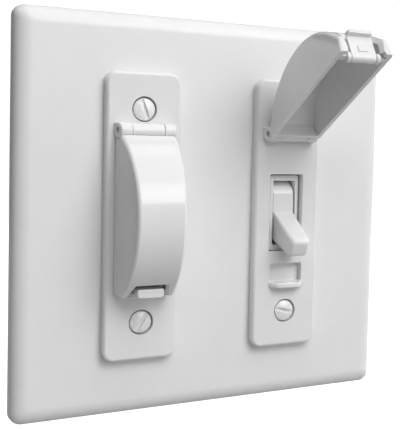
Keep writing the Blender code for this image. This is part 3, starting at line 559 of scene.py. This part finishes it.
def guard_cover(side, matrix):
    o = shell(lambda y: COVER_HALF - COVER_DRAFT * (-y - FRONT), 0.0, COVER_EDGE, 0.2, COVER_END_U, RIM_V, 60, 7)
    hollow = shell(lambda y: COVER_HALF - COVER_WALL - COVER_DRAFT * (-y - FRONT), COVER_WALL, COVER_INNER_EDGE, COVER_TOP_IN, COVER_END_U - 1.4, -2.0, 36, 4)
    cut(o, hollow)
    axis = (0, yv(HINGE_V), HINGE_Z)
    cut(o, cylinder(axis, "X", KNUCKLE_R + SEAM_R, -12, 12, 72))
    join(o, pin(axis, "X", BARREL_R, -SEAM_BARREL, SEAM_BARREL, 0.12, 64))
    join(o, box(-SEAM_BARREL + 0.15, SEAM_BARREL - 0.15, yv(3.45), yv(0.45), zu(COVER_TOP_IN - 0.1), zu(0.6)))
    cut(o, cylinder(axis, "X", PIN_BORE_R, -9, 9, 32))
    # the slot for the latch, open at the free end
    rings = []
    for v in (-2.0, 13.0):
        ring = []
        top = slot_half(SLOT_TOP_U, v)
        end = slot_half(COVER_END_U + 2.0, v)
        c = 0.45
        right = [(end, COVER_END_U + 2.0)]
        for i in range(6):
            t = i / 5
            lean = (end - top) / (COVER_END_U + 2.0 - SLOT_TOP_U)
            p = Vector((top + lean * c, SLOT_TOP_U + c)) * (1 - t) ** 2 + Vector((top, SLOT_TOP_U)) * 2 * t * (1 - t) + Vector((top - c, SLOT_TOP_U)) * t * t
            right.append((p.x, p.y))
        for x, u in right + [(-x, u) for x, u in reversed(right)]:
            ring.append((x, yv(v), zu(u)))
        rings.append(ring)
    cut(o, loft(rings))
    plan = [(6.0, -2.0), (6.0, 0.8), (5.65, 1.35), (-5.65, 1.35), (-6.0, 0.8), (-6.0, -2.0)]
    cut(o, loft([[(x, yv(v), zu(u)) for x, v in plan] for u in (COVER_END_U + 2, COVER_END_U - 1.45)]))
    # lugs that carry the latch pin
    for s in (-1, 1):
        lo, hi = sorted((s * (BOSS_X - 0.3), s * 7.3))
        join(o, soft_box(lo, hi, yv(1.75), yv(RIM_V), zu(44.1), zu(42.3), 0.2))
        lo, hi = sorted((s * (LATCH_X + 0.2), s * BOSS_X))
        join(o, pin((0, yv(LATCH_V), zu(LATCH_U)), "X", 1.45, lo, hi, 0.12, 40))
    cut(o, cylinder((0, yv(LATCH_V), zu(LATCH_U)), "X", LATCH_BORE_R - 0.15, -BOSS_X + 0.35, BOSS_X - 0.35, 28))
    hang(o, side + "_guard_cover", matrix @ about(*axis[1:]))


def latch(side, matrix):
    o = pin((0, yv(LATCH_V), zu(LATCH_U)), "X", LATCH_R, -LATCH_X, LATCH_X, 0.14, 48)
    outer_u = LATCH_U + LATCH_R
    inner_u = outer_u - LATCH_T
    lip_in, lip_top = LATCH_TIP_V - 1.15, inner_u + 0.22
    # tongue: full thickness at the pin, thinner where it meets the lip
    pts = [(LATCH_V, inner_u), (lip_in - 1.7, inner_u), (lip_in - 1.2, inner_u + 0.12), (lip_in - 0.8, inner_u + 0.4), (lip_in - 0.5, inner_u + 0.6), (lip_in + 0.3, inner_u + 0.62)]
    pts += [(lip_in + 0.3, outer_u + 0.3)]
    for i in range(6):  # fillet under the lip
        t = math.radians(90 * i / 5)
        pts.append((lip_in - 0.38 + 0.38 * math.cos(t) + 0.002, outer_u + 0.3 - 0.3 * math.sin(t)))
    pts.append((LATCH_V, outer_u))
    arm = prism(vu(pts), -LATCH_X, LATCH_X)
    sides = lambda p: abs(abs(p.x) - LATCH_X) < 0.01
    soften(arm, 0.12, 2, lambda a, b: sides(a) and sides(b) and a.x * b.x > 0 and min(-a.y, -b.y) > FRONT + 1.6, 30)
    # lip: rounded bar, its two outer corners rounder than the inner ones
    rings = []
    half_x, top, bottom = LATCH_X, lip_top, LIP_U
    depth = LATCH_TIP_V - lip_in
    levels = [(0.3, lip_in), (0.09, lip_in + 0.09), (0.0, lip_in + 0.3)]
    for i in range(6):
        t = math.radians(90 * i / 5)
        levels.append((0.36 * (1 - math.cos(t)), LATCH_TIP_V - 0.36 * (1 - math.sin(t))))
    for inset, v in levels:
        ring = []
        for cx, cu, r, a0 in ((1, bottom, 0.95, 0), (-1, bottom, 0.95, 90), (-1, top, 0.5, 180), (1, top, 0.5, 270)):
            way = 1 if cu == bottom else -1
            rr = max(0.1, r - inset)
            x0 = cx * (half_x - inset - rr)
            u0 = cu - way * (inset + rr)
            for i in range(8):
                a = math.radians(a0 + 90 * i / 7)
                ring.append((x0 + rr * math.cos(a), yv(v), zu(u0 + rr * math.sin(a))))
        rings.append(ring)
    join(o, arm, loft(rings))
    # catch: a low pad that rides over the ledge
    pad = loft(
        [
            [(x, yv(2.65) + w, zu(u)) for x, w in rounded_rect(1.45 - inset, 0.95 - inset, 0.2, 5)]
            for inset, u in ((0.0, outer_u - 0.3), (0.0, outer_u + 0.17), (0.03, outer_u + 0.23), (0.1, outer_u + 0.28), (0.2, outer_u + 0.3))
        ]
    )
    join(o, pad)
    cut(o, cylinder((0, yv(LATCH_V), zu(LATCH_U)), "X", LATCH_BORE_R - 0.15, -6, 6, 28))
    hang(o, side + "_latch", matrix @ about(yv(LATCH_V), zu(LATCH_U)))


# ---- screws ---------------------------------------------------------------------------------------------------------
def blade(axis, centre, width, lo, hi, length, angle):
    """A cutter for a straight slot with slightly rounded mouth edges."""
    b = box(-width / 2, width / 2, lo, hi, -length, length) if axis == "Y" else box(lo, hi, -width / 2, width / 2, -length, length)
    b.data.transform(Matrix.Translation(Vector(centre)) @ Matrix.Rotation(math.radians(angle), 4, axis))
    return b


def thread(centre, axis, r_core, depth, pitch, lo, hi, n=30, per=8, fade=1.0):
    """A closed screw thread from lo to hi along the axis, cut down to the core at both ends."""
    rings = []
    count = int(abs(hi - lo) / pitch * per)
    for k in range(count + 1):
        t = lo + (hi - lo) * k / count
        ring = []
        for i in range(n):
            a = 2 * math.pi * i / n
            ph = ((t - lo) / pitch + i / n) % 1.0
            h = max(0.0, 1.0 - abs(ph - 0.5) / 0.36)
            h = min(1.0, h * 1.15)
            edge = min(1.0, abs(t - lo) / fade, abs(hi - t) / fade)
            r = r_core + depth * h * edge
            c, s = r * math.cos(a), r * math.sin(a)
            ring.append((t, centre[1] + c, centre[2] + s) if axis == "X" else (centre[0] + c, t, centre[2] + s))
        rings.append(ring)
    return loft(rings)


def plate_screw(name, gx, z, angle):
    """Oval head: its rim lies a little below the guard's face, its crown above it."""
    rim, crown = -FRONT + 0.42, 0.78
    profile = [(8.0, 0.9), (7.0, SCREW_R), (-5.9, SCREW_R), (rim + 1.05, HEAD_R - 0.25), (rim + 0.85, HEAD_R - 0.04), (rim + 0.7, HEAD_R), (rim + 0.1, HEAD_R), (rim + 0.02, HEAD_R - 0.03)]
    ball = (HEAD_R * HEAD_R + crown * crown) / (2 * crown)
    for i in range(1, 12):
        r = (HEAD_R - 0.07) * math.cos(math.radians(7.5 * i))
        profile.append((rim - (math.sqrt(ball * ball - r * r) - ball + crown), r))
    o = turned((0, 0, z), "Y", profile, 72)
    cut(o, blade("Y", (0, 0, z), 1.22, -12.0, rim - 0.02, 6, angle))
    tidy(o)
    crest = lambda p: p.y < rim + 0.02 and Vector((p.x, 0, p.z - z)).length < HEAD_R - 0.05
    soften(o, 0.06, 2, lambda a, b: crest(a) and crest(b) and max(a.y, b.y) < rim - 0.06, 35)
    hang(o, name, at(gx))


def device_screw(name, gx, z, angle):
    profile = [(-1.0, 1.2), (-1.5, 3.3), (-1.6, 3.4), (-2.1, 3.36), (-2.4, 3.15), (-2.7, 2.75), (-2.92, 2.2), (-3.05, 1.5), (-3.08, 0.8)]
    o = turned((0, 0, z), "Y", profile, 56)
    cut(o, blade("Y", (0, 0, z), 1.1, -9.0, -2.2, 6, angle), blade("Y", (0, 0, z), 0.9, -9.0, -2.45, 2.1, angle + 90))
    shank = thread((0, 0, z), "Y", 1.32, 0.37, 0.794, -1.3, 19.0)
    join(o, shank)
    join(o, turned((0, 0, z), "Y", [(18.0, 1.25), (19.2, 1.25), (20.0, 0.85)], 30))
    hang(o, name, at(gx))


def side_screw(name, gx, y, z, seat, sign, length, angle):
    s = sign
    profile = [(seat - s * 0.2, 2.2), (seat, 3.35), (seat + s * 0.1, 3.5), (seat + s * 1.45, 3.5), (seat + s * 1.68, 3.44), (seat + s * 1.86, 3.3), (seat + s * 2.0, 3.0)]
    o = turned((0, y, z), "X", profile, 56)
    lo, hi = sorted((seat + s * 1.0, seat + s * 4.0))
    cut(o, blade("X", (0, y, z), 1.15, lo, hi, 6, angle), blade("X", (0, y, z), 1.0, lo, hi, 2.2, angle + 90))
    a, b = sorted((seat + s * 0.1, seat - s * length))
    join(o, thread((0, y, z), "X", 1.35, 0.38, 0.794, a, b, fade=0.5))
    hang(o, name, at(gx))


# ---- switch body ----------------------------------------------------------------------------------------------------
def strap(side, gx):
    lev = both_fillets(0.0, -STRAP_T, 0.18, 3)
    o = slab(STRAP_X, STRAP_Z, 1.5, lev, steps=8)
    for s in (-1, 1):
        join(o, slab(EAR_X, 4.2, 1.6, lev, cz=s * (STRAP_Z - 4.2), steps=8))
        # plaster ears are scored so that they can be snapped off
        for x in (-10.6, 10.6):
            cut(o, box(x - 0.25, x + 0.25, -2, -STRAP_T + 0.35, s * (STRAP_Z - 9.5), s * (STRAP_Z + 1)) if s > 0 else box(x - 0.25, x + 0.25, -2, -STRAP_T + 0.35, -(STRAP_Z + 1), -(STRAP_Z - 9.5)))
        for x in (-13.1, 13.1):
            cut(o, cylinder((x, 0, s * (STRAP_Z - 4.2)), "Y", 1.3, -3, 1, 28))
        cut(o, slab(3.6, 2.1, 2.05, [(0, None, 1), (0, None, -3)], cz=s * DEVICE_SCREW_Z, steps=10))
        cut(o, cylinder((0, 0, s * SCREW_Z), "Y", 2.05, -3, 1, 40))
    cut(o, box(-20, 20, -STRAP_STEP, 1.0, -STRAP_STEP_Z, STRAP_STEP_Z))
    tab = soft_box(-17.6, -8.0, -STRAP_T, 0.0, -41.0, -34.6, 0.15)
    up = soft_box(-17.6, -16.4, -STRAP_T, 8.0, -41.0, -34.6, 0.3)
    join(o, tab, up)
    cut(o, cylinder((0, 4.0, -37.8), "X", 2.1, -20, -15, 36))
    cut(o, slab(COLLAR_X + GAP + 0.1, COLLAR_Z + GAP + 0.1, 0.5, [(0, None, 1), (0, None, -3)], steps=4))
    hang(o, side + "_strap", at(gx))


def switch_front(side, gx):
    o = slab(BODY_X, BODY_Z, 2.0, both_fillets(5.3, GAP - STRAP_STEP, 0.25, 3), steps=8)
    join(o, slab(COLLAR_X, COLLAR_Z, 0.8, fillet_levels(1.5, COLLAR_FRONT, 0.22, 4), steps=8))
    rings = []
    xc, xh = (COLLAR_IN_LEFT + COLLAR_IN_RIGHT) / 2, (COLLAR_IN_RIGHT - COLLAR_IN_LEFT) / 2
    for grow, r, y in ((0.3, 0.5, COLLAR_FRONT - 0.4), (0.2, 0.4, COLLAR_FRONT - 0.01), (0.06, 0.3, COLLAR_FRONT + 0.07), (0.0, 0.25, COLLAR_FRONT + 0.22), (0.0, 0.25, COLLAR_FRONT + 1.2)):
        rings.append([(xc + x, y, z) for x, z in rounded_rect(xh + grow, COLLAR_IN_Z + grow, r, 6)])
    rings.append([(x, THROAT_Y, z) for x, z in rounded_rect(THROAT_X, THROAT_Z, 0.25, 6)])
    rings.append([(x, 0.0, z) for x, z in rounded_rect(THROAT_X, THROAT_Z, 0.25, 6)])
    cut(o, loft(rings))
    cut(o, cylinder((0, PIVOT_Y, 0), "X", DRUM_R + 0.3, -THROAT_X, THROAT_X, 128))
    cut(o, box(-THROAT_X, THROAT_X, PIVOT_Y, 9.0, -(DRUM_R + 0.3), DRUM_R + 0.3))
    cut(o, box(-6.4, 6.4, PIVOT_Y - 2.3, 9.0, -2.35, 2.35))
    for z in (-SCREW_Z, SCREW_Z):
        cut(o, cylinder((0, 0, z), "Y", 2.1, -1, 7, 36))
    hang(o, side + "_switch_front", at(gx))


def switch_base(side, gx):
    o = slab(BODY_X, BODY_Z, 2.0, [(0.2, None, 5.6), (0.0, None, 5.8), (0, None, 24.2), (0.1, None, 24.75), (0.4, None, 25.2), (0.85, None, 25.5), (1.4, None, 25.6)], steps=8)
    cut(o, box(-8.0, 8.0, 4.0, 21.0, -14.5, 14.5))
    for z in (-SCREW_Z, SCREW_Z):
        cut(o, cylinder((0, 0, z), "Y", 2.1, 4, 9.5, 36))
    for s in (-1, 1):
        lo, hi = sorted((s * 7.4, s * 26.6))
        cut(o, box(14.6, 18.0, 8.0, 18.4, lo, hi))
        cut(o, cylinder((0, 12.5, s * 20.0), "X", 2.1, 8.5, 16, 36))
        # push-in wire holes with a lead-in, and shallow moulded panels on the back
        cut(o, turned((11.0, 0, s * 14.0), "Y", [(27.0, 1.75), (25.6, 1.75), (24.9, 1.15), (22.6, 1.15)], 32))
        cut(o, turned((11.0, 0, s * 22.5), "Y", [(27.0, 1.75), (25.6, 1.75), (24.9, 1.15), (22.6, 1.15)], 32))
        cut(o, slab(5.2, 11.5, 0.8, [(0.15, None, 25.0), (0, None, 25.2), (0, None, 27)], cx=-8.6, cz=s * 15.5, steps=5))
        cut(o, turned((0.6, 0, s * 28.5), "Y", [(27.0, 1.9), (25.6, 1.9), (25.35, 1.65), (24.6, 1.6)], 32))
        join(o, turned((0.6, 0, s * 28.5), "Y", [(24.3, 1.2), (25.2, 1.2), (25.42, 1.0), (25.5, 0.6)], 28))
    cut(o, slab(2.2, 24.0, 0.6, [(0.12, None, 25.2), (0, None, 25.35), (0, None, 27)], cx=3.4, steps=5))
    cut(o, box(7.0, 15.0, 16.4, 18.0, -12.4, -7.6))
    cut(o, box(7.0, 15.0, 16.8, 18.4, 7.6, 12.4))
    hang(o, side + "_switch_base", at(gx))


def line_terminal(side, gx):
    o = box(-2.4, 15.8, 16.8, 17.6, -12.0, -8.0)
    join(o, soft_box(15.0, 15.8, 8.6, 17.6, -26.0, -8.0, 0.2), pin((0, 0, -9.6), "Y", 1.4, 16.0, 17.0, 0.2, 36))
    cut(o, cylinder((0, 12.5, -20.0), "X", 2.1, 14, 17, 36))
    hang(o, side + "_line_terminal", at(gx))


def load_terminal(side, gx):
    o = box(-2.4, 15.8, 17.2, 18.0, 8.0, 12.0)
    join(o, soft_box(15.0, 15.8, 8.6, 18.0, 8.0, 26.0, 0.2), box(-2.4, 2.4, 17.2, 18.0, -1.6, 9.0), box(-2.4, 2.4, 16.5, 17.6, -0.5, 0.5))
    cut(o, cylinder((0, 12.5, 20.0), "X", 2.1, 14, 17, 36))
    hang(o, side + "_load_terminal", at(gx))


def contact_arm(side, matrix):
    r_in, r_out, steps = DRUM_R + 0.6, DRUM_R + 1.5, 24
    a_max = math.radians(34)
    inner = [(PIVOT_Y + r_in * math.cos(a_max * (1 - 2 * i / steps)), r_in * math.sin(a_max * (1 - 2 * i / steps))) for i in range(steps + 1)]
    outer = [(PIVOT_Y + r_out * math.cos(a_max * (1 - 2 * i / steps)), r_out * math.sin(a_max * (1 - 2 * i / steps))) for i in range(steps + 1)]
    tab = [(inner[-1][0] - 0.05, -10.8), (inner[-1][0] + 0.85, -10.8)]
    o = prism(inner + tab + list(reversed(outer)), -2.2, 2.2)
    join(o, box(-1.8, 1.8, PIVOT_Y + r_out - 0.3, ARM_Y + 0.1, -0.45, 0.45))
    join(o, pin((0, 0, -9.5), "Y", 1.3, inner[-1][0] + 0.5, inner[-1][0] + 1.5, 0.15, 32))
    hang(o, side + "_contact_arm", matrix @ about(ARM_Y, 0.0))


# ---- toggle ---------------------------------------------------------------------------------------------------------
def toggle(side, matrix):
    tilt = math.radians(TOGGLE_TILT)
    spread = math.acos(DRUM_FLAT / DRUM_R)
    apex = DRUM_FLAT / math.cos(tilt)
    half_profile = [(-apex, 0.0)]
    # the flat runs into the drum's round face over a short soft shoulder
    start = tilt + spread
    shoulder = 0.10
    flat_dir = Vector((math.sin(tilt), math.cos(tilt)))  # along the flat, away from the lever
    p_round = Vector((-DRUM_R * math.cos(start + shoulder), DRUM_R * math.sin(start + shoulder)))
    corner = Vector((-DRUM_R * math.cos(start), DRUM_R * math.sin(start)))
    p_flat = corner - flat_dir * (DRUM_R * shoulder)
    for i in range(9):
        t = i / 8
        p = p_flat * (1 - t) ** 2 + corner * 2 * t * (1 - t) + p_round * t * t
        half_profile.append((p.x, p.y))
    for i in range(1, 25):
        a = start + shoulder + (math.radians(40) - shoulder) * i / 24
        half_profile.append((-DRUM_R * math.cos(a), DRUM_R * math.sin(a)))
    half_profile += [(3.4, 4.4), (5.0, 3.2), (8.6, 2.9)]
    lower = [(y, -z) for y, z in reversed(half_profile[1:])]
    drum = prism(half_profile + lower, -DRUM_X, DRUM_X)
    edge = lambda p: abs(abs(p.x) - DRUM_X) < 0.01 and p.y < 0
    soften(drum, 0.18, 3, lambda a, b: edge(a) and edge(b) and a.x * b.x > 0, 30)
    sections = [(-4.0, 0.0, 0.45), (LEVER_ROOT, 0.0, 0.5)]
    tip_r = 1.35
    for i in range(0, 9):
        t = math.radians(90 * i / 8)
        sections.append((LEVER_TIP + tip_r * (1 - math.sin(t)), tip_r * (1 - math.cos(t)), 0.62 + 0.45 * (1 - math.cos(t))))
    rings = []
    for y, inset, r in sections:
        f = min(1.0, max(0.0, (y - LEVER_ROOT) / (LEVER_TIP - LEVER_ROOT)))
        hx = (DRUM_X - 0.03) + (LEVER_TIP_X + 0.12 - DRUM_X + 0.03) * f - inset
        hz = LEVER_ROOT_H + (LEVER_TIP_H - LEVER_ROOT_H) * f - inset
        r = min(r + 0.5 * f * f, hx - 0.15, hz - 0.15)  # the corners grow rounder towards the tip
        rings.append([(x, y, z) for x, z in rounded_rect(hx, hz, r, 7)])
    lever = loft(rings)
    o = join(drum, lever)
    tidy(o)
    # the crease where the lever leaves the drum
    soften(
        o,
        0.35,
        4,
        lambda a, b: abs(a.y - b.y) < 0.02 and abs(abs(a.z) - abs(b.z)) < 0.02 and -9.5 < a.y < -5.0 and abs(a.x) < 3.3 and abs(b.x) < 3.3 and abs(a.x - b.x) > 4.0,
        5,
    )
    join(o, pin((0, 0, 0), "X", 2.0, -6.1, 6.1, 0.15, 48))
    cut(o, cylinder((0, 0, 0), "Y", 1.9, 4.6, 10.0, 40))
    hang(o, side + "_toggle", matrix)


def detent_spring(side, matrix):
    coils, per_turn, wire, radius, y0, y1 = 4, 28, 0.25, 1.35, 5.2, 9.9
    n = coils * per_turn
    rings = []
    for i in range(n + 1):
        a = 2 * math.pi * i / per_turn
        c = Vector((radius * math.cos(a), y0 + (y1 - y0) * i / n, radius * math.sin(a)))
        tangent = Vector((-radius * math.sin(a), (y1 - y0) / n * per_turn / (2 * math.pi), radius * math.cos(a))).normalized()
        out = Vector((math.cos(a), 0.0, math.sin(a)))
        side_way = tangent.cross(out).normalized()
        rings.append([tuple(c + (out * math.cos(2 * math.pi * k / 10) + side_way * math.sin(2 * math.pi * k / 10)) * wire) for k in range(10)])
    hang(loft(rings), side + "_detent_spring", matrix)


wall_plate()
for side, gx, cover_deg, toggle_up, angles in (
    ("left", -GANG_PITCH / 2, 0.0, True, (-19, 34)),
    ("right", GANG_PITCH / 2, COVER_OPEN_DEG, False, (24, -76)),
):
    guard_base(side, gx)
    hang(pin((0, yv(HINGE_V), HINGE_Z), "X", PIN_R, -PIN_X, PIN_X, 0.12, 28), side + "_hinge_pin", at(gx))
    plate_screw(side + "_upper_plate_screw", gx, SCREW_Z, angles[0])
    plate_screw(side + "_lower_plate_screw", gx, -SCREW_Z, angles[1])
    strap(side, gx)
    switch_front(side, gx)
    switch_base(side, gx)
    line_terminal(side, gx)
    load_terminal(side, gx)
    side_screw(side + "_line_screw", gx, 12.5, -20.0, 16.1, 1, 6.6, 20)
    side_screw(side + "_load_screw", gx, 12.5, 20.0, 16.1, 1, 6.6, -35)
    side_screw(side + "_ground_screw", gx, 4.0, -37.8, -17.9, -1, 6.0, 50)
    device_screw(side + "_upper_device_screw", gx, DEVICE_SCREW_Z, 10)
    device_screw(side + "_lower_device_screw", gx, -DEVICE_SCREW_Z, 80)
    hinge = turn_at(gx, yv(HINGE_V), HINGE_Z, cover_deg)
    guard_cover(side, hinge)
    latch_axis = hinge @ Matrix.Translation(Vector((0.0, yv(LATCH_V) - yv(HINGE_V), zu(LATCH_U) - HINGE_Z)))
    latch(side, latch_axis)
    hang(pin((0, 0, 0), "X", LATCH_PIN_R, -BOSS_X + 0.45, BOSS_X - 0.45, 0.1, 28), side + "_latch_pin", latch_axis)
    tilt = TOGGLE_TILT if toggle_up else -TOGGLE_TILT
    axis = turn_at(gx, PIVOT_Y, 0.0, tilt)
    toggle(side, axis)
    detent_spring(side, axis)
    contact_arm(side, turn_at(gx, ARM_Y, 0.0, -ARM_RATIO * tilt))


# ---- studio ---------------------------------------------------------------------------------------------------------
def softbox(name, azimuth, elevation, width, height, power, kind="diffuse", distance=1.2):
    """An area light at an angle round the object (0 is straight in front, 90 is at +X), facing the origin."""
    a, e = math.radians(azimuth), math.radians(elevation)
    data = bpy.data.lights.new(name, "AREA")
    data.shape = "RECTANGLE"
    data.size, data.size_y = width, height
    data.energy = power
    o = bpy.data.objects.new(name, data)
    bpy.context.scene.collection.objects.link(o)
    o.location = Vector((math.sin(a) * math.cos(e), -math.cos(a) * math.cos(e), math.sin(e))) * distance
    o.rotation_euler = (-o.location).to_track_quat("-Z", "Y").to_euler()
    o.visible_camera = False
    o.visible_glossy = kind == "glossy"
    o.visible_diffuse = kind == "diffuse"
    return o


world = bpy.data.worlds.new("studio")
bpy.context.scene.world = world
world.use_nodes = True
wn = world.node_tree
background = wn.nodes["Background"]
background.inputs["Color"].default_value = (1, 1, 1, 1)
path = wn.nodes.new("ShaderNodeLightPath")
strength = wn.nodes.new("ShaderNodeMapRange")
strength.inputs["To Min"].default_value = 0.02  # light on the object
strength.inputs["To Max"].default_value = 1.05  # what the camera sees
wn.links.new(path.outputs["Is Camera Ray"], strength.inputs["Value"])
wn.links.new(strength.outputs["Result"], background.inputs["Strength"])

floor_mesh = bpy.data.meshes.new("floor")
floor_mesh.from_pydata([(-9, -9, 0), (9, -9, 0), (9, 9, 0), (-9, 9, 0)], [], [(0, 1, 2, 3)])
floor = bpy.data.objects.new("floor", floor_mesh)
bpy.context.scene.collection.objects.link(floor)
floor.location = (0, 0, -0.13)
fm, fnt, fshader, fmap = node_material("floor_paper")
fnt.links.new(tint(fnt, noise(fnt, fmap, 0.02, 3.0, 0.5), (0.30,) * 3, (0.33,) * 3), fshader.inputs["Base Color"])
fshader.inputs["Roughness"].default_value = 0.9
fshader.inputs["Specular IOR Level"].default_value = 0.1
fnt.links.new(bump(fnt, noise(fnt, fmap, 0.8, 3.0, 0.6), 0.05, 0.2), fshader.inputs["Normal"])
fpath = fnt.nodes.new("ShaderNodeLightPath")
femit = fnt.nodes.new("ShaderNodeMath")
femit.operation = "MULTIPLY"
femit.inputs[1].default_value = 1.0
fnt.links.new(fpath.outputs["Is Camera Ray"], femit.inputs[0])
fshader.inputs["Emission Color"].default_value = (1, 1, 1, 1)
fnt.links.new(femit.outputs["Value"], fshader.inputs["Emission Strength"])
floor.data.materials.append(fm)

# broad light: no reflections of its own, so that the sheen comes only from the panels below
softbox("key", 28, 38, 0.6, 0.6, 5.7)
softbox("key_high", 14, 65, 0.5, 0.5, 3.3)
softbox("front_high", 10, 40, 0.5, 0.5, 1.8)
softbox("left_high", -20, 42, 0.5, 0.5, 2.4)
softbox("top", 0, 88, 0.6, 0.6, 1.6)
softbox("front_low", 0, -10, 0.5, 0.5, 1.2)
softbox("right", 100, 15, 0.5, 0.5, 8.2)
softbox("right_low", 70, -10, 0.5, 0.5, 1.7)
softbox("panel_fill", 14, 15, 0.7, 0.5, 2.6, distance=1.5)
softbox("rear", 178, 25, 0.8, 0.6, 5.0)
softbox("rear_right", 150, 10, 0.6, 0.6, 2.5)
softbox("rear_left", -142, 42, 0.6, 0.6, 3.2)
# reflected panels: what the glossy plastic mirrors
softbox("panel_low", 24, 22.5, 0.9, 0.345, 4.0, "glossy")
softbox("panel_mid", 24, 34.05, 0.9, 0.103, 1.0, "glossy")
softbox("panel_high", 24, 50.75, 0.9, 0.61, 1.3, "glossy")
softbox("panel_top", 24, 78, 0.9, 0.42, 1.6, "glossy")

# ---- camera ---------------------------------------------------------------------------------------------------------
FOCAL, YAW, PITCH, ROLL = 910.443, 0.522255, -0.053809, 0.028280
CAM = Vector((-0.108576, -0.254560, 0.025150))
CENTRE_X, CENTRE_Y = 316.063, 181.151
right = Vector((math.cos(YAW), -math.sin(YAW), 0.0))
look = Vector((math.sin(YAW) * math.cos(PITCH), math.cos(YAW) * math.cos(PITCH), math.sin(PITCH)))
up = right.cross(look)
r2 = right * math.cos(ROLL) + up * math.sin(ROLL)
u2 = -right * math.sin(ROLL) + up * math.cos(ROLL)
cam_data = bpy.data.cameras.new("camera")
cam = bpy.data.objects.new("camera", cam_data)
bpy.context.scene.collection.objects.link(cam)
m = Matrix((r2, u2, -look)).transposed().to_4x4()
m.translation = CAM
cam.matrix_world = m
cam_data.sensor_width = 36.0
cam_data.sensor_fit = "AUTO"
cam_data.lens = FOCAL * 36.0 / 430.0
cam_data.clip_start, cam_data.clip_end = 0.01, 50.0
bpy.context.scene.camera = cam


def shift_at_home(prop, value):
    """The picture's centre is off the lens axis at the home view only; any other view is centred."""
    curve = cam_data.driver_add(prop)
    var = curve.driver.variables.new()
    var.name = "x"
    var.type = "TRANSFORMS"
    var.targets[0].id = cam
    var.targets[0].transform_type = "LOC_X"
    var.targets[0].transform_space = "WORLD_SPACE"
    curve.driver.type = "SCRIPTED"
    curve.driver.expression = f"{value:.6f} if abs(x - {CAM.x:.6f}) < 0.0002 else 0.0"


shift_at_home("shift_x", (200.0 - CENTRE_X) / 430.0)
shift_at_home("shift_y", (CENTRE_Y - 215.0) / 430.0)

scene = bpy.context.scene
scene.view_settings.view_transform = "Standard"
scene.view_settings.look = "None"
scene.view_settings.exposure = 0.0
